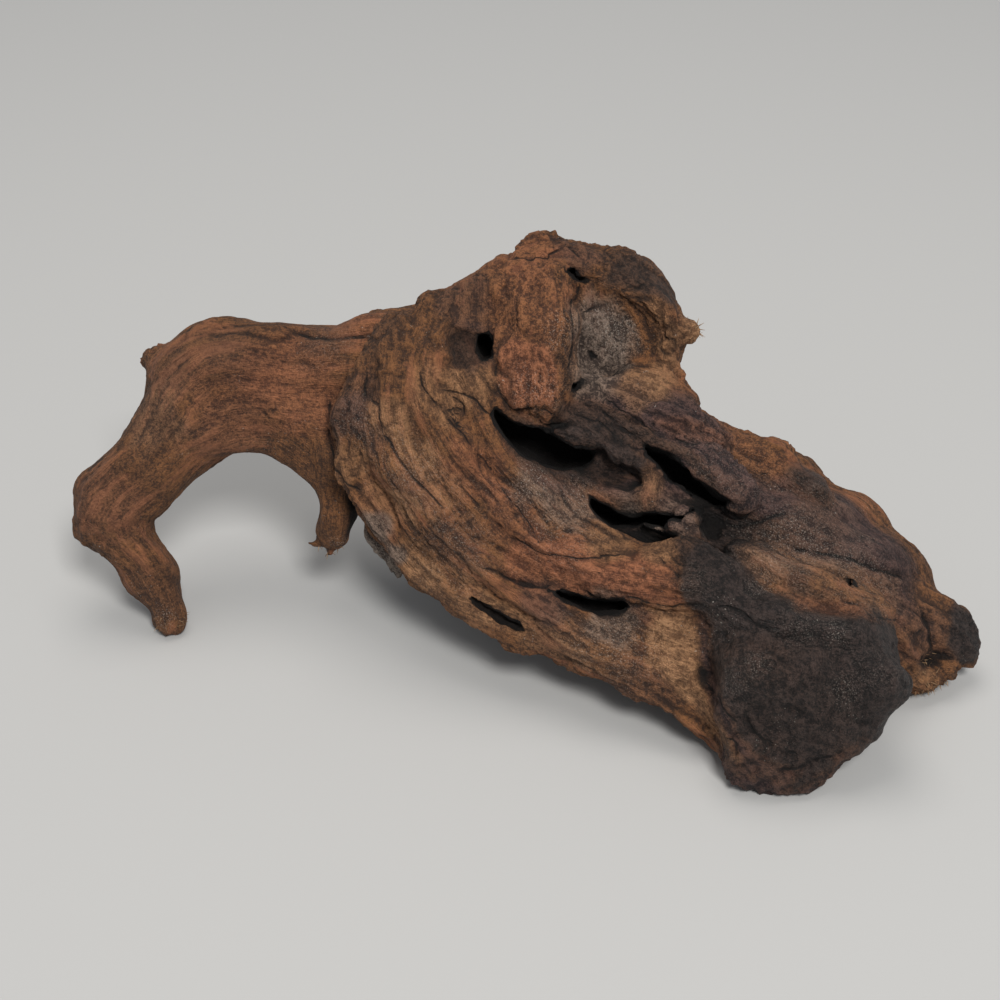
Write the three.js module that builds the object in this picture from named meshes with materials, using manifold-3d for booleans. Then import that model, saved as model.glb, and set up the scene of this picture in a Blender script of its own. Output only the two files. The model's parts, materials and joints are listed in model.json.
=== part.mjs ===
// A piece of aquarium driftwood: one knotted root stock, weathered into welded strands of grain.
// It stands on the tip of a thin bent arm, on a thick sawn-off knob and on a root behind.
// Millimetres, +Z up, with the origin on the ground under the middle of the wood.

import * as THREE from 'three';
import { mergeVertices } from 'three/addons/utils/BufferGeometryUtils.js';
import Module from 'manifold-3d';

const GRID_STEP = 5;
const GRID_LOW = new THREE.Vector3(-148, -108, -9);
const GRID_HIGH = new THREE.Vector3(164, 62, 141);

// The point of the sketch frame below that becomes the origin, so that the wood is centred on it.
const ORIGIN = new THREE.Vector3(7.11, -23.98, 0);

// Each strand of wood is a path of [x, y, z, girth radius], welded to its neighbours with a fillet of about
// the weld radius.
const STRANDS = {
  core: {
    weld: 8,
    path: [[-30, 12, 66, 18], [-7, 10, 60, 23], [20, 8, 50, 25], [45, -4, 44, 25], [71, -18, 38, 25],
      [96, -30, 31, 24], [113, -36, 27, 19]],
  },
  armUpper: {
    weld: 6,
    path: [[-16, 14, 89, 16], [-39, 17, 83, 15], [-65, 18, 80, 15], [-87, 17, 82, 15], [-99, 14, 77, 15],
      [-109, 5, 61, 11.5], [-123.5, -3, 44, 9.5]],
  },
  armLower: {
    weld: 8,
    path: [[-23, 2, 66, 16], [-45, 6, 67, 14], [-65, 9, 67, 12], [-83, 10, 68, 12.5], [-98, 8, 63, 13],
      [-111, 3, 54, 12.5], [-126.5, -5, 40, 13], [-120.5, -12, 26, 10], [-113, -16, 12, 7.2],
      [-111, -18, 3.4, 6]],
  },
  armRidge: {
    weld: 2.5,
    path: [[-10, 23, 97, 8.5], [-29, 27, 86.5, 7], [-51, 30, 82.5, 6.5], [-69, 28, 82, 6], [-85, 22, 87, 7],
      [-94, 17, 88, 8]],
  },
  armNub: {
    weld: 4,
    path: [[-102, 18, 80, 8], [-110, 23, 80, 6], [-115, 26, 78, 4]],
  },
  stubRoot: {
    weld: 6,
    path: [[-66, 3, 61, 8], [-60.5, 0.5, 57.7, 8], [-54, -2, 54, 8]],
  },
  brokenStub: {
    weld: 3,
    path: [[-53, -2, 62, 9], [-53, -4, 50, 7.2], [-53.3, -6.5, 41, 6.5], [-54, -8, 32, 5.7]],
  },
  plateEdge: {
    weld: 2.5,
    path: [[-41, -7, 86, 9], [-45, -12, 74, 8.5], [-42, -17, 59, 8], [-34, -22, 48, 8], [-27, -28, 39, 8],
      [-17, -34, 33, 8], [-3, -42, 29, 8], [14, -50, 26, 8], [31, -58, 23, 8.5], [48, -65, 20, 8],
      [62, -73, 14, 8], [71, -82, 8, 7]],
  },
  plateSecond: {
    weld: 3.5,
    path: [[-31, -2, 99, 10], [-33, -11, 86, 11], [-30, -19, 72, 11], [-22, -27, 59, 11], [-9, -35, 47, 11],
      [8, -43, 38, 10], [25, -51, 30, 10], [40, -58, 25, 9.5], [57, -66, 22, 9]],
  },
  plateRidge: {
    weld: 2.5,
    path: [[-17, 4, 107, 9], [-22, -7, 96, 10], [-19, -17, 82, 10], [-9, -27, 68, 10], [5, -36, 56, 9],
      [20, -43, 49, 8], [37, -50, 48, 7.5], [56, -57, 49, 7.5]],
  },
  plateLip: {
    weld: 3,
    path: [[-12, -6, 98, 9], [-7, -14, 90, 8], [0, -23, 75, 7], [14, -31, 62, 6.5], [28, -38, 53, 6],
      [43, -45, 50, 5.5], [58, -50, 52, 6]],
  },
  headLeft: {
    weld: 4,
    path: [[-18, 8, 101.5, 8.5], [-9, 9, 109, 9], [0, 11, 115, 9]],
  },
  crest: {
    weld: 3,
    path: [[1, 12, 114, 6.5], [8, 14, 116, 7.5], [16, 15, 120.5, 9], [27, 15, 115.5, 7], [36, 14, 113.5, 6.5],
      [44, 12, 111.5, 6], [49, 10, 107, 6], [51, 7, 101, 5], [51, 4, 92, 4.5], [52, 1, 83, 4.5],
      [57, -3, 76, 6]],
  },
  crestNub: {
    weld: 1.5,
    path: [[55, 8, 99, 4.8], [58, 8, 99.5, 4.2]],
  },
  shoulderRidge: {
    weld: 7,
    path: [[66, -1, 64, 6], [84, -4, 52, 9.5], [101, -11, 42, 12.6], [118.5, -19.5, 31, 13.6],
      [131, -27, 20, 12]],
  },
  domeUpper: {
    weld: 5,
    path: [[66, -20, 56, 10], [84, -26, 52, 12], [101, -30, 44, 14], [114, -32, 33, 14]],
  },
  thigh: {
    weld: 2,
    path: [[74, -46, 50, 6], [86, -52, 46, 9], [100, -56, 41, 10], [112, -54, 36, 9]],
  },
  stump: {
    weld: 5,
    path: [[88, -34, 27, 22], [87, -60, 24, 23], [86, -89, 21.5, 21.5]],
  },
  stumpCornerLeft: {
    weld: 5,
    path: [[77, -58, 35, 10], [75, -86, 33, 9.5]],
  },
  stumpCornerRight: {
    weld: 5,
    path: [[104, -56, 34, 12], [108, -82, 31, 12]],
  },
  stumpHeel: {
    weld: 5,
    path: [[84, -62, 16, 16], [79.5, -95, 13, 13.4]],
  },
  stumpCornerLow: {
    weld: 5,
    path: [[104, -56, 24, 13], [106.5, -82, 23, 12]],
  },
  tail: {
    weld: 5,
    path: [[121, -36, 25, 13], [136, -38.5, 18.5, 10.8], [148, -41, 12, 7]],
  },
  tailUnder: {
    weld: 3,
    path: [[118, -46, 22, 12], [129, -50, 13, 8.5], [134, -51, 8, 6]],
  },
  underFlake: {
    weld: 1.5,
    path: [[-43, -8, 44, 4.5], [-37, -14, 36, 5], [-33, -18, 29, 4.5]],
  },
  backUpper: {
    weld: 6,
    path: [[-40, 26, 84, 10], [-10, 30, 80, 14], [25, 26, 74, 15], [60, 12, 55, 12], [88, -2, 46, 13],
      [112, -16, 32, 12]],
  },
  backLower: {
    weld: 5,
    path: [[-34, 20, 66, 11], [0, 30, 52, 13], [35, 26, 40, 14], [70, 8, 30, 13], [98, -8, 22, 12]],
  },
  backRoot: {
    weld: 5,
    path: [[58, 12, 44, 14], [68, 28, 28, 12], [75, 37, 13, 9], [77, 41, 2, 8]],
  },
  keel: {
    weld: 4,
    path: [[-27, -6, 62, 12], [-14, -16, 51, 15], [4, -26, 41, 16], [30, -38, 31, 16], [58, -52, 24, 15],
      [84, -60, 22, 16]],
  },
};

// Strands that cross a hollow, so they are welded on after it is cut.
const BRIDGING_STRANDS = {
  tongue: {
    weld: 4,
    path: [[8, 6, 117, 9], [8, -1, 107, 10.5], [8, -6, 98, 11], [8, -10, 91, 9.5]],
  },
  tongueSide: {
    weld: 3,
    path: [[15, 4, 117, 8], [15, -4, 106, 9], [15, -9, 96, 9], [14, -12, 89, 8]],
  },
  brow: {
    weld: 2.5,
    path: [[14, -6, 84, 6], [24, -10, 80, 7], [36, -14, 76, 7], [50, -20, 73, 7.5], [63, -26, 69, 8],
      [72, -31, 65, 7.5]],
  },
  band: {
    weld: 3,
    path: [[61, -5, 70.5, 6.5], [73, -11, 66, 8], [87, -17, 63.5, 7.5], [97, -23, 60, 6]],
  },
  browUpper: {
    weld: 3,
    path: [[26, -6, 85, 7], [40, -9, 82, 8], [54, -12, 78, 8], [64, -14, 74, 7]],
  },
  bridge: {
    weld: 2.5,
    path: [[22, -12, 64, 6], [33, -20, 60, 7], [46, -27, 57, 7.5], [60, -33, 54, 7]],
  },
  cheek: {
    weld: 5,
    path: [[-6.2, 5.8, 111, 8], [-6.2, -2.1, 99.7, 8], [-4, -11.8, 85.8, 8]],
  },
  slope: {
    weld: 6,
    path: [[4.7, -13.8, 72.7, 8], [14.2, -16.6, 65.1, 9], [23.6, -21.1, 60.5, 9], [31.5, -24.6, 57.2, 8]],
  },
  bridgeUpper: {
    weld: 3,
    path: [[27, -14.2, 61.6, 8], [37.6, -22.6, 63.5, 8], [56.7, -22.8, 59.8, 7]],
  },
  strap: {
    weld: 3,
    path: [[58, -50, 53, 7], [65, -57, 46, 8.5], [74, -65, 42, 8.5], [87, -71, 41, 8], [103, -71, 38, 7.5],
      [114, -67, 30, 8]],
  },
};

// The round mass of the head: centre, radii, and its lean about X in degrees.
const HEAD = { weld: 6, centre: [28.5, 14, 94], radii: [31, 16, 30.5], lean: -20 };

// The worn bowl in the front of the head.
const BOWL = { weld: 5, centre: [38, -8, 98], radii: [19, 14, 20], lean: -25 };

// Rotted gaps, cut along a path and made deeper than they are wide by the stretch.
const GAPS = {
  gapUpper: {
    weld: 2, stretch: 2.4,
    path: [[1.6, -14.8, 81.6, 3.5], [9.4, -16.4, 75.9, 5.5], [17.3, -16.1, 72.8, 5.5],
      [25.7, -17.2, 71.3, 3.5]],
  },
  gapBrow: {
    weld: 2, stretch: 2.6,
    path: [[46.1, -21.4, 74, 2.8], [52.3, -23.7, 70.6, 3.6], [59.1, -26.4, 66.8, 3.8],
      [66, -29.6, 62.2, 2.8]],
  },
  gapLower: {
    weld: 2, stretch: 2.2,
    path: [[30.7, -27.5, 56.6, 2.6], [40.2, -30.3, 52.5, 3.4], [49.6, -30.5, 52.2, 3.2]],
  },
  recess: {
    weld: 2, stretch: 2,
    path: [[19.2, -48.8, 40.1, 2.6], [27.9, -50.6, 37.5, 3.2], [36.5, -50.9, 37, 2.8]],
  },
  holeLeft: {
    weld: 2, stretch: 2,
    path: [[-5, -3.5, 99.5, 3.2], [-4, -3.5, 102.5, 3.2]],
  },
};

// The gaps run in from the front, down and back at this angle.
const GAP_DIP = THREE.MathUtils.degToRad(35);
const GAP_DIRECTION = new THREE.Vector3(0, Math.cos(GAP_DIP), -Math.sin(GAP_DIP));

// The blunt face of the knob: a point on it, the way it faces, and how far its rim is rounded.
const KNOB_FACE = { weld: 5, point: [88, -92, 28], facing: [0.05, -0.98, 0.2] };

// A point in the thick of the wood, which the one body is grown from.
const HEART = new THREE.Vector3(45, -4, 44);

// The edges of a grid cell, as pairs of its corners, which count up along X, then Y, then Z.
const CELL_EDGES = [
  [0, 1], [2, 3], [4, 5], [6, 7],
  [0, 2], [1, 3], [4, 6], [5, 7],
  [0, 4], [1, 5], [2, 6], [3, 7],
];

const SAMPLES_PER_SPAN = 5;
const GRADIENT_STEP = 0.4;
const AXES = [new THREE.Vector3(1, 0, 0), new THREE.Vector3(0, 1, 0), new THREE.Vector3(0, 0, 1)];

// How the net settles: its passes, the pull to its neighbours, the pull to the surface, and the
// margin that a vertex keeps inside its cell.
const SETTLE_PASSES = 6;
const SMOOTHING = 0.4;
const SNAPPING = 0.7;
const CELL_MARGIN = 0.06 * GRID_STEP;

const FAR = 1e9;

/** Smooth union of two distances: their lesser, with a fillet of about the weld radius. */
function weldOn(a, b, weld) {
  const overlap = Math.max(weld - Math.abs(a - b), 0) / weld;
  return Math.min(a, b) - overlap * overlap * weld / 4;
}

/** Smooth cut: the wood at distance a, less what lies inside distance b. */
function cutAway(a, b, weld) {
  return -weldOn(-a, b, weld);
}

/** Wobble of the grain: no weathered strand runs quite true. */
function wander(p) {
  const { x, y, z } = p;
  return new THREE.Vector3(
    x + Math.sin(0.21 * y + 0.27 * z + 1),
    y + Math.sin(0.25 * z + 0.19 * x + 2.1),
    z + Math.sin(0.23 * x - 0.24 * y + 0.4),
  );
}

/** A swept strand or gap: straight cones between samples of a smooth path. */
class Sweep {
  constructor({ weld, stretch = 1, path }) {
    this.weld = weld;
    this.stretch = stretch;
    const centres = path.map(([x, y, z]) => new THREE.Vector3(x, y, z));
    const girths = path.map(([, , , girth]) => new THREE.Vector3(girth, 0, 0));
    const line = new THREE.CatmullRomCurve3(centres, false, 'catmullrom', 0.5);
    const swell = new THREE.CatmullRomCurve3(girths, false, 'catmullrom', 0.5);
    const count = (path.length - 1) * SAMPLES_PER_SPAN;
    this.nodes = Array.from({ length: count + 1 }, (_, i) => line.getPoint(i / count));
    this.girths = this.nodes.map((_, i) => swell.getPoint(i / count).x);
    this.reach = Math.max(...this.girths) * stretch;
    this.box = new THREE.Box3().setFromPoints(this.nodes);
  }

  /** The least that distance(p) can be, from the box round the path. */
  atLeast(p) {
    return this.box.distanceToPoint(p) - this.reach;
  }

  distance(p) {
    let best = FAR;
    const span = new THREE.Vector3();
    const offset = new THREE.Vector3();
    for (let i = 0; i < this.nodes.length - 1; i += 1) {
      span.subVectors(this.nodes[i + 1], this.nodes[i]);
      offset.subVectors(p, this.nodes[i]);
      const t = THREE.MathUtils.clamp(offset.dot(span) / span.lengthSq(), 0, 1);
      offset.addScaledVector(span, -t);
      if (this.stretch !== 1) {
        const deep = offset.dot(GAP_DIRECTION);
        offset.addScaledVector(GAP_DIRECTION, deep / this.stretch - deep);
      }
      const girth = THREE.MathUtils.lerp(this.girths[i], this.girths[i + 1], t);
      best = Math.min(best, offset.length() - girth);
    }
    return best;
  }
}

/** A rounded lump or bowl: an ellipsoid leaning about X. */
class Egg {
  constructor({ weld, centre, radii, lean }) {
    this.weld = weld;
    this.centre = new THREE.Vector3(...centre);
    this.radii = new THREE.Vector3(...radii);
    const upright = -THREE.MathUtils.degToRad(lean);
    this.unlean = new THREE.Quaternion().setFromAxisAngle(new THREE.Vector3(1, 0, 0), upright);
  }

  distance(p) {
    const q = p.clone().sub(this.centre).applyQuaternion(this.unlean);
    const scaled = q.clone().divide(this.radii);
    const steep = scaled.clone().divide(this.radii).length();
    const reach = scaled.length();
    return steep < 1e-6 ? -this.radii.y : reach * (reach - 1) / steep;
  }
}

/** All the wood as one field: negative inside, about the distance in millimetres. */
class Driftwood {
  constructor() {
    const sweeps = (table) => Object.values(table).map((spec) => new Sweep(spec));
    this.strands = sweeps(STRANDS);
    this.bridging = sweeps(BRIDGING_STRANDS);
    this.gaps = sweeps(GAPS);
    this.head = new Egg(HEAD);
    this.bowl = new Egg(BOWL);
    this.facePoint = new THREE.Vector3(...KNOB_FACE.point);
    this.facing = new THREE.Vector3(...KNOB_FACE.facing).normalize();
  }

  weldAll(start, strands, p) {
    let gap = start;
    for (const strand of strands) {
      if (strand.atLeast(p) < gap + strand.weld) {
        gap = weldOn(gap, strand.distance(p), strand.weld);
      }
    }
    return gap;
  }

  distance(point) {
    const p = wander(point);
    let gap = this.weldAll(this.head.distance(p), this.strands, p);
    gap = cutAway(gap, this.bowl.distance(p), this.bowl.weld);
    gap = this.weldAll(gap, this.bridging, p);
    for (const rot of this.gaps) {
      if (rot.atLeast(p) < rot.weld - gap) {
        gap = cutAway(gap, rot.distance(p), rot.weld);
      }
    }
    const pastFace = p.clone().sub(this.facePoint).dot(this.facing);
    return -weldOn(-gap, -pastFace, KNOB_FACE.weld);
  }

  gradient(p) {
    const slopes = AXES.map((axis) => {
      const ahead = p.clone().addScaledVector(axis, GRADIENT_STEP);
      const behind = p.clone().addScaledVector(axis, -GRADIENT_STEP);
      return (this.distance(ahead) - this.distance(behind)) / (2 * GRADIENT_STEP);
    });
    return new THREE.Vector3(...slopes);
  }
}

/** The field sampled on a grid, and the closed net that wraps its inside. */
class SurfaceNet {
  constructor(wood) {
    this.wood = wood;
    const span = GRID_HIGH.clone().sub(GRID_LOW);
    this.size = span.toArray().map((length) => Math.ceil(length / GRID_STEP) + 1);
    this.strides = [1, this.size[0], this.size[0] * this.size[1]];
    this.values = new Float64Array(this.size[0] * this.size[1] * this.size[2]);
    this.eachPoint((i, at) => {
      this.values[i] = wood.distance(at);
    });
  }

  eachPoint(visit) {
    const [nx, ny, nz] = this.size;
    for (let iz = 0, i = 0; iz < nz; iz += 1) {
      for (let iy = 0; iy < ny; iy += 1) {
        for (let ix = 0; ix < nx; ix += 1, i += 1) {
          visit(i, this.place(ix, iy, iz), [ix, iy, iz]);
        }
      }
    }
  }

  place(ix, iy, iz) {
    return new THREE.Vector3(ix, iy, iz).multiplyScalar(GRID_STEP).add(GRID_LOW);
  }

  inside(i) {
    return this.values[i] < 0;
  }

  /** Thickens the wood wherever it would only touch itself at an edge or a corner of the grid. */
  mendTouches() {
    const thicken = (i) => {
      this.values[i] = -0.05 * GRID_STEP;
    };
    let mended = true;
    while (mended) {
      mended = false;
      this.eachPoint((i, at, cell) => {
        if (cell.some((index, axis) => index >= this.size[axis] - 1)) {
          return;
        }
        for (const [a, b] of [[0, 1], [1, 2], [2, 0]]) {
          const near = [i, i + this.strides[a] + this.strides[b]];
          const cross = [i + this.strides[a], i + this.strides[b]];
          for (const [wood, air] of [[near, cross], [cross, near]]) {
            if (wood.every((k) => this.inside(k)) && air.every((k) => !this.inside(k))) {
              thicken(this.values[air[0]] < this.values[air[1]] ? air[0] : air[1]);
              mended = true;
            }
          }
        }
        const corners = this.corners(i);
        const filled = corners.filter((k) => this.inside(k));
        const empty = corners.filter((k) => !this.inside(k));
        if (this.areOpposite(i, filled) || this.areOpposite(i, empty)) {
          thicken(empty[0]);
          mended = true;
        }
      });
    }
  }

  corners(i) {
    const [dx, dy, dz] = this.strides;
    return [i, i + dx, i + dy, i + dx + dy, i + dz, i + dx + dz, i + dy + dz, i + dx + dy + dz];
  }

  /** Whether the corners are just two, at opposite ends of the cell's long diagonal. */
  areOpposite(i, corners) {
    const [dx, dy, dz] = this.strides;
    return corners.length === 2 && corners[0] + corners[1] === 2 * i + dx + dy + dz;
  }

  /** Drops loose scraps of wood and fills sealed pockets, so that one solid body is left. */
  keepOneBody() {
    const heart = this.nearestIndex(HEART);
    const wood = this.flood(heart, (i) => this.inside(i));
    const air = this.flood(0, (i) => !this.inside(i));
    this.values.forEach((value, i) => {
      if (value < 0 && !wood[i]) {
        this.values[i] = GRID_STEP / 2;
      } else if (value >= 0 && !air[i]) {
        this.values[i] = -GRID_STEP / 2;
      }
    });
  }

  nearestIndex(p) {
    const [ix, iy, iz] = p.clone().sub(GRID_LOW).divideScalar(GRID_STEP).round().toArray();
    return ix + iy * this.strides[1] + iz * this.strides[2];
  }

  flood(seed, belongs) {
    const reached = new Uint8Array(this.values.length);
    const queue = [seed];
    reached[seed] = 1;
    while (queue.length) {
      const i = queue.pop();
      for (const stride of this.strides) {
        for (const next of [i - stride, i + stride]) {
          if (next >= 0 && next < this.values.length && !reached[next] && belongs(next)) {
            reached[next] = 1;
            queue.push(next);
          }
        }
      }
    }
    return reached;
  }

  /** One vertex in each cell that the surface crosses, at the mean of its crossings. */
  placeVertices() {
    this.vertices = [];
    this.cells = [];
    this.vertexOf = new Map();
    this.eachPoint((i, at, cell) => {
      if (cell.some((index, axis) => index >= this.size[axis] - 1)) {
        return;
      }
      const crossings = this.crossings(i, at);
      if (!crossings.length) {
        return;
      }
      const vertex = crossings.reduce((sum, crossing) => sum.add(crossing), new THREE.Vector3());
      vertex.divideScalar(crossings.length);
      this.vertexOf.set(i, this.vertices.length);
      this.vertices.push(vertex);
      this.cells.push(at);
    });
  }

  /** Evens out the net, then slides each vertex towards the surface, always inside its own cell. */
  settleVertices() {
    for (let pass = 0; pass < SETTLE_PASSES; pass += 1) {
      const means = this.neighbourMeans();
      this.vertices.forEach((vertex, k) => {
        vertex.lerp(means[k], SMOOTHING);
        const gap = this.wood.distance(vertex);
        const slope = this.wood.gradient(vertex);
        vertex.addScaledVector(slope, -SNAPPING * gap / Math.max(slope.lengthSq(), 0.5));
        const low = this.cells[k].clone().addScalar(CELL_MARGIN);
        vertex.clamp(low, low.clone().addScalar(GRID_STEP - 2 * CELL_MARGIN));
      });
    }
  }

  neighbourMeans() {
    const sums = this.vertices.map(() => new THREE.Vector3());
    const counts = this.vertices.map(() => 0);
    for (let t = 0; t < this.triangles.length; t += 3) {
      const [a, b, c] = this.triangles.slice(t, t + 3);
      for (const [start, end] of [[a, b], [b, c], [c, a]]) {
        sums[start].add(this.vertices[end]);
        counts[start] += 1;
      }
    }
    return sums.map((sum, k) => sum.divideScalar(counts[k]));
  }

  crossings(i, at) {
    const corners = this.corners(i);
    const corner = (k) => new THREE.Vector3(k & 1, (k >> 1) & 1, k >> 2).multiplyScalar(GRID_STEP).add(at);
    const crossed = CELL_EDGES.filter(([a, b]) => this.inside(corners[a]) !== this.inside(corners[b]));
    return crossed.map(([a, b]) => {
      const start = this.values[corners[a]];
      const end = this.values[corners[b]];
      return corner(a).lerp(corner(b), start / (start - end));
    });
  }

  /** A quad across each grid edge that the surface crosses, split along its shorter diagonal. */
  buildTriangles() {
    this.triangles = [];
    this.eachPoint((i, at, cell) => {
      for (let axis = 0; axis < 3; axis += 1) {
        const side = this.strides[(axis + 1) % 3];
        const other = this.strides[(axis + 2) % 3];
        if (cell[axis] >= this.size[axis] - 1 || this.inside(i) === this.inside(i + this.strides[axis])) {
          continue;
        }
        const ring = [i - side - other, i - other, i, i - side].map((k) => this.vertexOf.get(k));
        if (!this.inside(i)) {
          ring.reverse();
        }
        this.addQuad(ring);
      }
    });
  }

  addQuad([a, b, c, d]) {
    const across = (p, q) => this.vertices[p].distanceTo(this.vertices[q]);
    if (across(a, c) < across(b, d)) {
      this.triangles.push(a, b, c, a, c, d);
    } else {
      this.triangles.push(a, b, d, b, c, d);
    }
  }

  build() {
    this.mendTouches();
    this.keepOneBody();
    this.placeVertices();
    this.buildTriangles();
    this.settleVertices();
    this.buildTriangles();
    return this;
  }
}

/** A solid from flat lists of vertex coordinates and triangle corners. */
function solidFrom(wasm, coordinates, corners) {
  const vertProperties = new Float32Array(coordinates);
  const triVerts = new Uint32Array(corners);
  return new wasm.Manifold(new wasm.Mesh({ numProp: 3, vertProperties, triVerts }));
}

/** The block of space above the ground, as a solid. */
function spaceAboveGround(wasm) {
  const width = 2 * (GRID_HIGH.x - GRID_LOW.x);
  const block = new THREE.BoxGeometry(width, width, GRID_HIGH.z).translate(0, 0, GRID_HIGH.z / 2);
  block.deleteAttribute('normal');
  block.deleteAttribute('uv');
  const merged = mergeVertices(block);
  return solidFrom(wasm, merged.getAttribute('position').array, merged.getIndex().array);
}

/** A geometry from a solid, moved so that the origin lies under the middle of the wood. */
function geometryFromSolid(solid) {
  const mesh = solid.getMesh();
  const geometry = new THREE.BufferGeometry();
  geometry.setAttribute('position', new THREE.BufferAttribute(mesh.vertProperties, mesh.numProp));
  geometry.setIndex(new THREE.BufferAttribute(mesh.triVerts, 1));
  geometry.translate(-ORIGIN.x, -ORIGIN.y, -ORIGIN.z);
  geometry.computeVertexNormals();
  return geometry;
}

const wasm = await Module();
wasm.setup();

const net = new SurfaceNet(new Driftwood()).build();
const coordinates = net.vertices.flatMap((vertex) => vertex.toArray());
const wood = solidFrom(wasm, coordinates, net.triangles).intersect(spaceAboveGround(wasm));

const driftwood = new THREE.Mesh(
  geometryFromSolid(wood),
  new THREE.MeshStandardMaterial({ color: 0x5c4031, roughness: 0.85, metalness: 0 }),
);
driftwood.name = 'driftwood';

const part = new THREE.Group();
part.add(driftwood);

export default part;
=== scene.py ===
"""Aquarium driftwood: one knotted root of weathered strands, charred at its knob.

The wood is sketched in millimetres in the part's sketch frame, then moved so that the origin lies on the
ground under the middle of it. Everything handed to Blender is in metres.
"""
import json
import logging
import math
from dataclasses import dataclass
from enum import Enum
from functools import cached_property

import bpy
import numpy as np
import openvdb
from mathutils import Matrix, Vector
from mathutils.bvhtree import BVHTree

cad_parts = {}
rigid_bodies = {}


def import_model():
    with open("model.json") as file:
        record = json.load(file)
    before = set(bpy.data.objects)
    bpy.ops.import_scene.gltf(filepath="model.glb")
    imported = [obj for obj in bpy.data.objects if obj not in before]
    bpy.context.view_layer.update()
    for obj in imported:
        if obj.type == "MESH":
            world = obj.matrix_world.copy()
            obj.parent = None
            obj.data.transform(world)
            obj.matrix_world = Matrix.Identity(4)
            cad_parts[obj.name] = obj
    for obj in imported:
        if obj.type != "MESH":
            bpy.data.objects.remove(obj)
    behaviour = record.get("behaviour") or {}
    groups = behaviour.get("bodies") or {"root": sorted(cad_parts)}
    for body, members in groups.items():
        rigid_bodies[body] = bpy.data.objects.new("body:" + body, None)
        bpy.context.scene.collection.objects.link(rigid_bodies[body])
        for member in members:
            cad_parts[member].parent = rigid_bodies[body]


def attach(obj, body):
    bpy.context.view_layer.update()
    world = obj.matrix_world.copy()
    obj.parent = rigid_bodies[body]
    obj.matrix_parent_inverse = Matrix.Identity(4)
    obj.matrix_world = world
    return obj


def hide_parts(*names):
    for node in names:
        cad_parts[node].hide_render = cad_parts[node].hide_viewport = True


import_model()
log = logging.getLogger("driftwood")

MM = 0.001
# The point of the sketch frame that is the origin of the part.
ORIGIN = np.array([7.11, -23.98, 0.0])
FAR = 1e3
# The wobble of the grain along each axis: two axes with their waves' radians to the millimetre, and a phase.
WOBBLES = (((1, 0.21), (2, 0.27), 1.0), ((2, 0.25), (0, 0.19), 2.1), ((0, 0.23), (1, -0.24), 0.4))
# Large odd numbers that scatter the corners of the noise lattice, and that stir the result.
LATTICE_KEYS = (73856093, 19349663, 83492791)
SEED_KEYS = (40503, 977)
STIRS = ((13, 1274126177), (15, 668265263))
KEY_BITS = 0x7FFFFFFF
# The rotted gaps run in from the front, down and back at this angle.
GAP_DIP = math.radians(35)
GAP_DIRECTION = np.array([0.0, math.cos(GAP_DIP), -math.sin(GAP_DIP)])


class Tint(Enum):
    """What a strand or a patch of the wood has weathered to; umber and char also paint shade, and tan paints
    some light. The value names its mask on the mesh.
    """

    BROWN = "brown"
    UMBER_AND_SHADE = "umber_and_shade"
    RUST = "rust"
    TAN = "tan_and_light"
    GREY = "grey"
    CHAR_AND_SHADE = "char_and_shade"
    DUST = "dust"


def weld_on(first: np.ndarray, second: np.ndarray, weld: float) -> np.ndarray:
    """Joins two distances with a fillet of about the weld radius.

    Args:
        first: Distances to one solid.
        second: Distances to the other.
        weld: The fillet radius, in the same units.

    Returns:
        Distances to both together.
    """
    overlap = np.maximum(weld - np.abs(first - second), 0.0) / weld
    return np.minimum(first, second) - overlap * overlap * (weld / 4)


def cut_away(wood: np.ndarray, hollow: np.ndarray, weld: float) -> np.ndarray:
    """Takes a hollow out of the wood with a rounded edge, by distances to each."""
    return -weld_on(-wood, hollow, weld)


def wander(points: np.ndarray) -> np.ndarray:
    """Wobbles the grain, because no weathered strand runs quite true."""
    wobble = [
        np.sin(rate * points[:, axis] + other_rate * points[:, other] + phase)
        for (axis, rate), (other, other_rate), phase in WOBBLES
    ]
    return (points + np.stack(wobble, axis=1)).astype(np.float32)


def lattice_noise(points: np.ndarray, seed: int) -> np.ndarray:
    """Smooth random values on a unit lattice.

    Args:
        points: Rows of three coordinates.
        seed: Picks the pattern.

    Returns:
        A value from -1 to 1 for each row.
    """
    base = np.floor(points).astype(np.int64)
    part = points - base
    part = part * part * (3 - 2 * part)
    total = np.zeros(len(points))
    for corner in range(8):
        step = np.array([corner & 1, corner >> 1 & 1, corner >> 2])
        cell = base + step
        part_keys = [cell[:, axis] * number for axis, number in enumerate(LATTICE_KEYS)]
        key = part_keys[0] ^ part_keys[1] ^ part_keys[2] ^ (seed * SEED_KEYS[0] + SEED_KEYS[1])
        for shift, number in STIRS:
            key = (key ^ key >> shift) * number & KEY_BITS
        share = np.prod(np.where(step, part, 1 - part), axis=1)
        total += share * (key / (KEY_BITS // 2) - 1)
    return total


def smooth_step(low: float, high: float, value: np.ndarray) -> np.ndarray:
    """Rises from 0 at low to 1 at high, with soft ends."""
    part = np.clip((value - low) / (high - low), 0, 1)
    return part * part * (3 - 2 * part)


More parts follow.
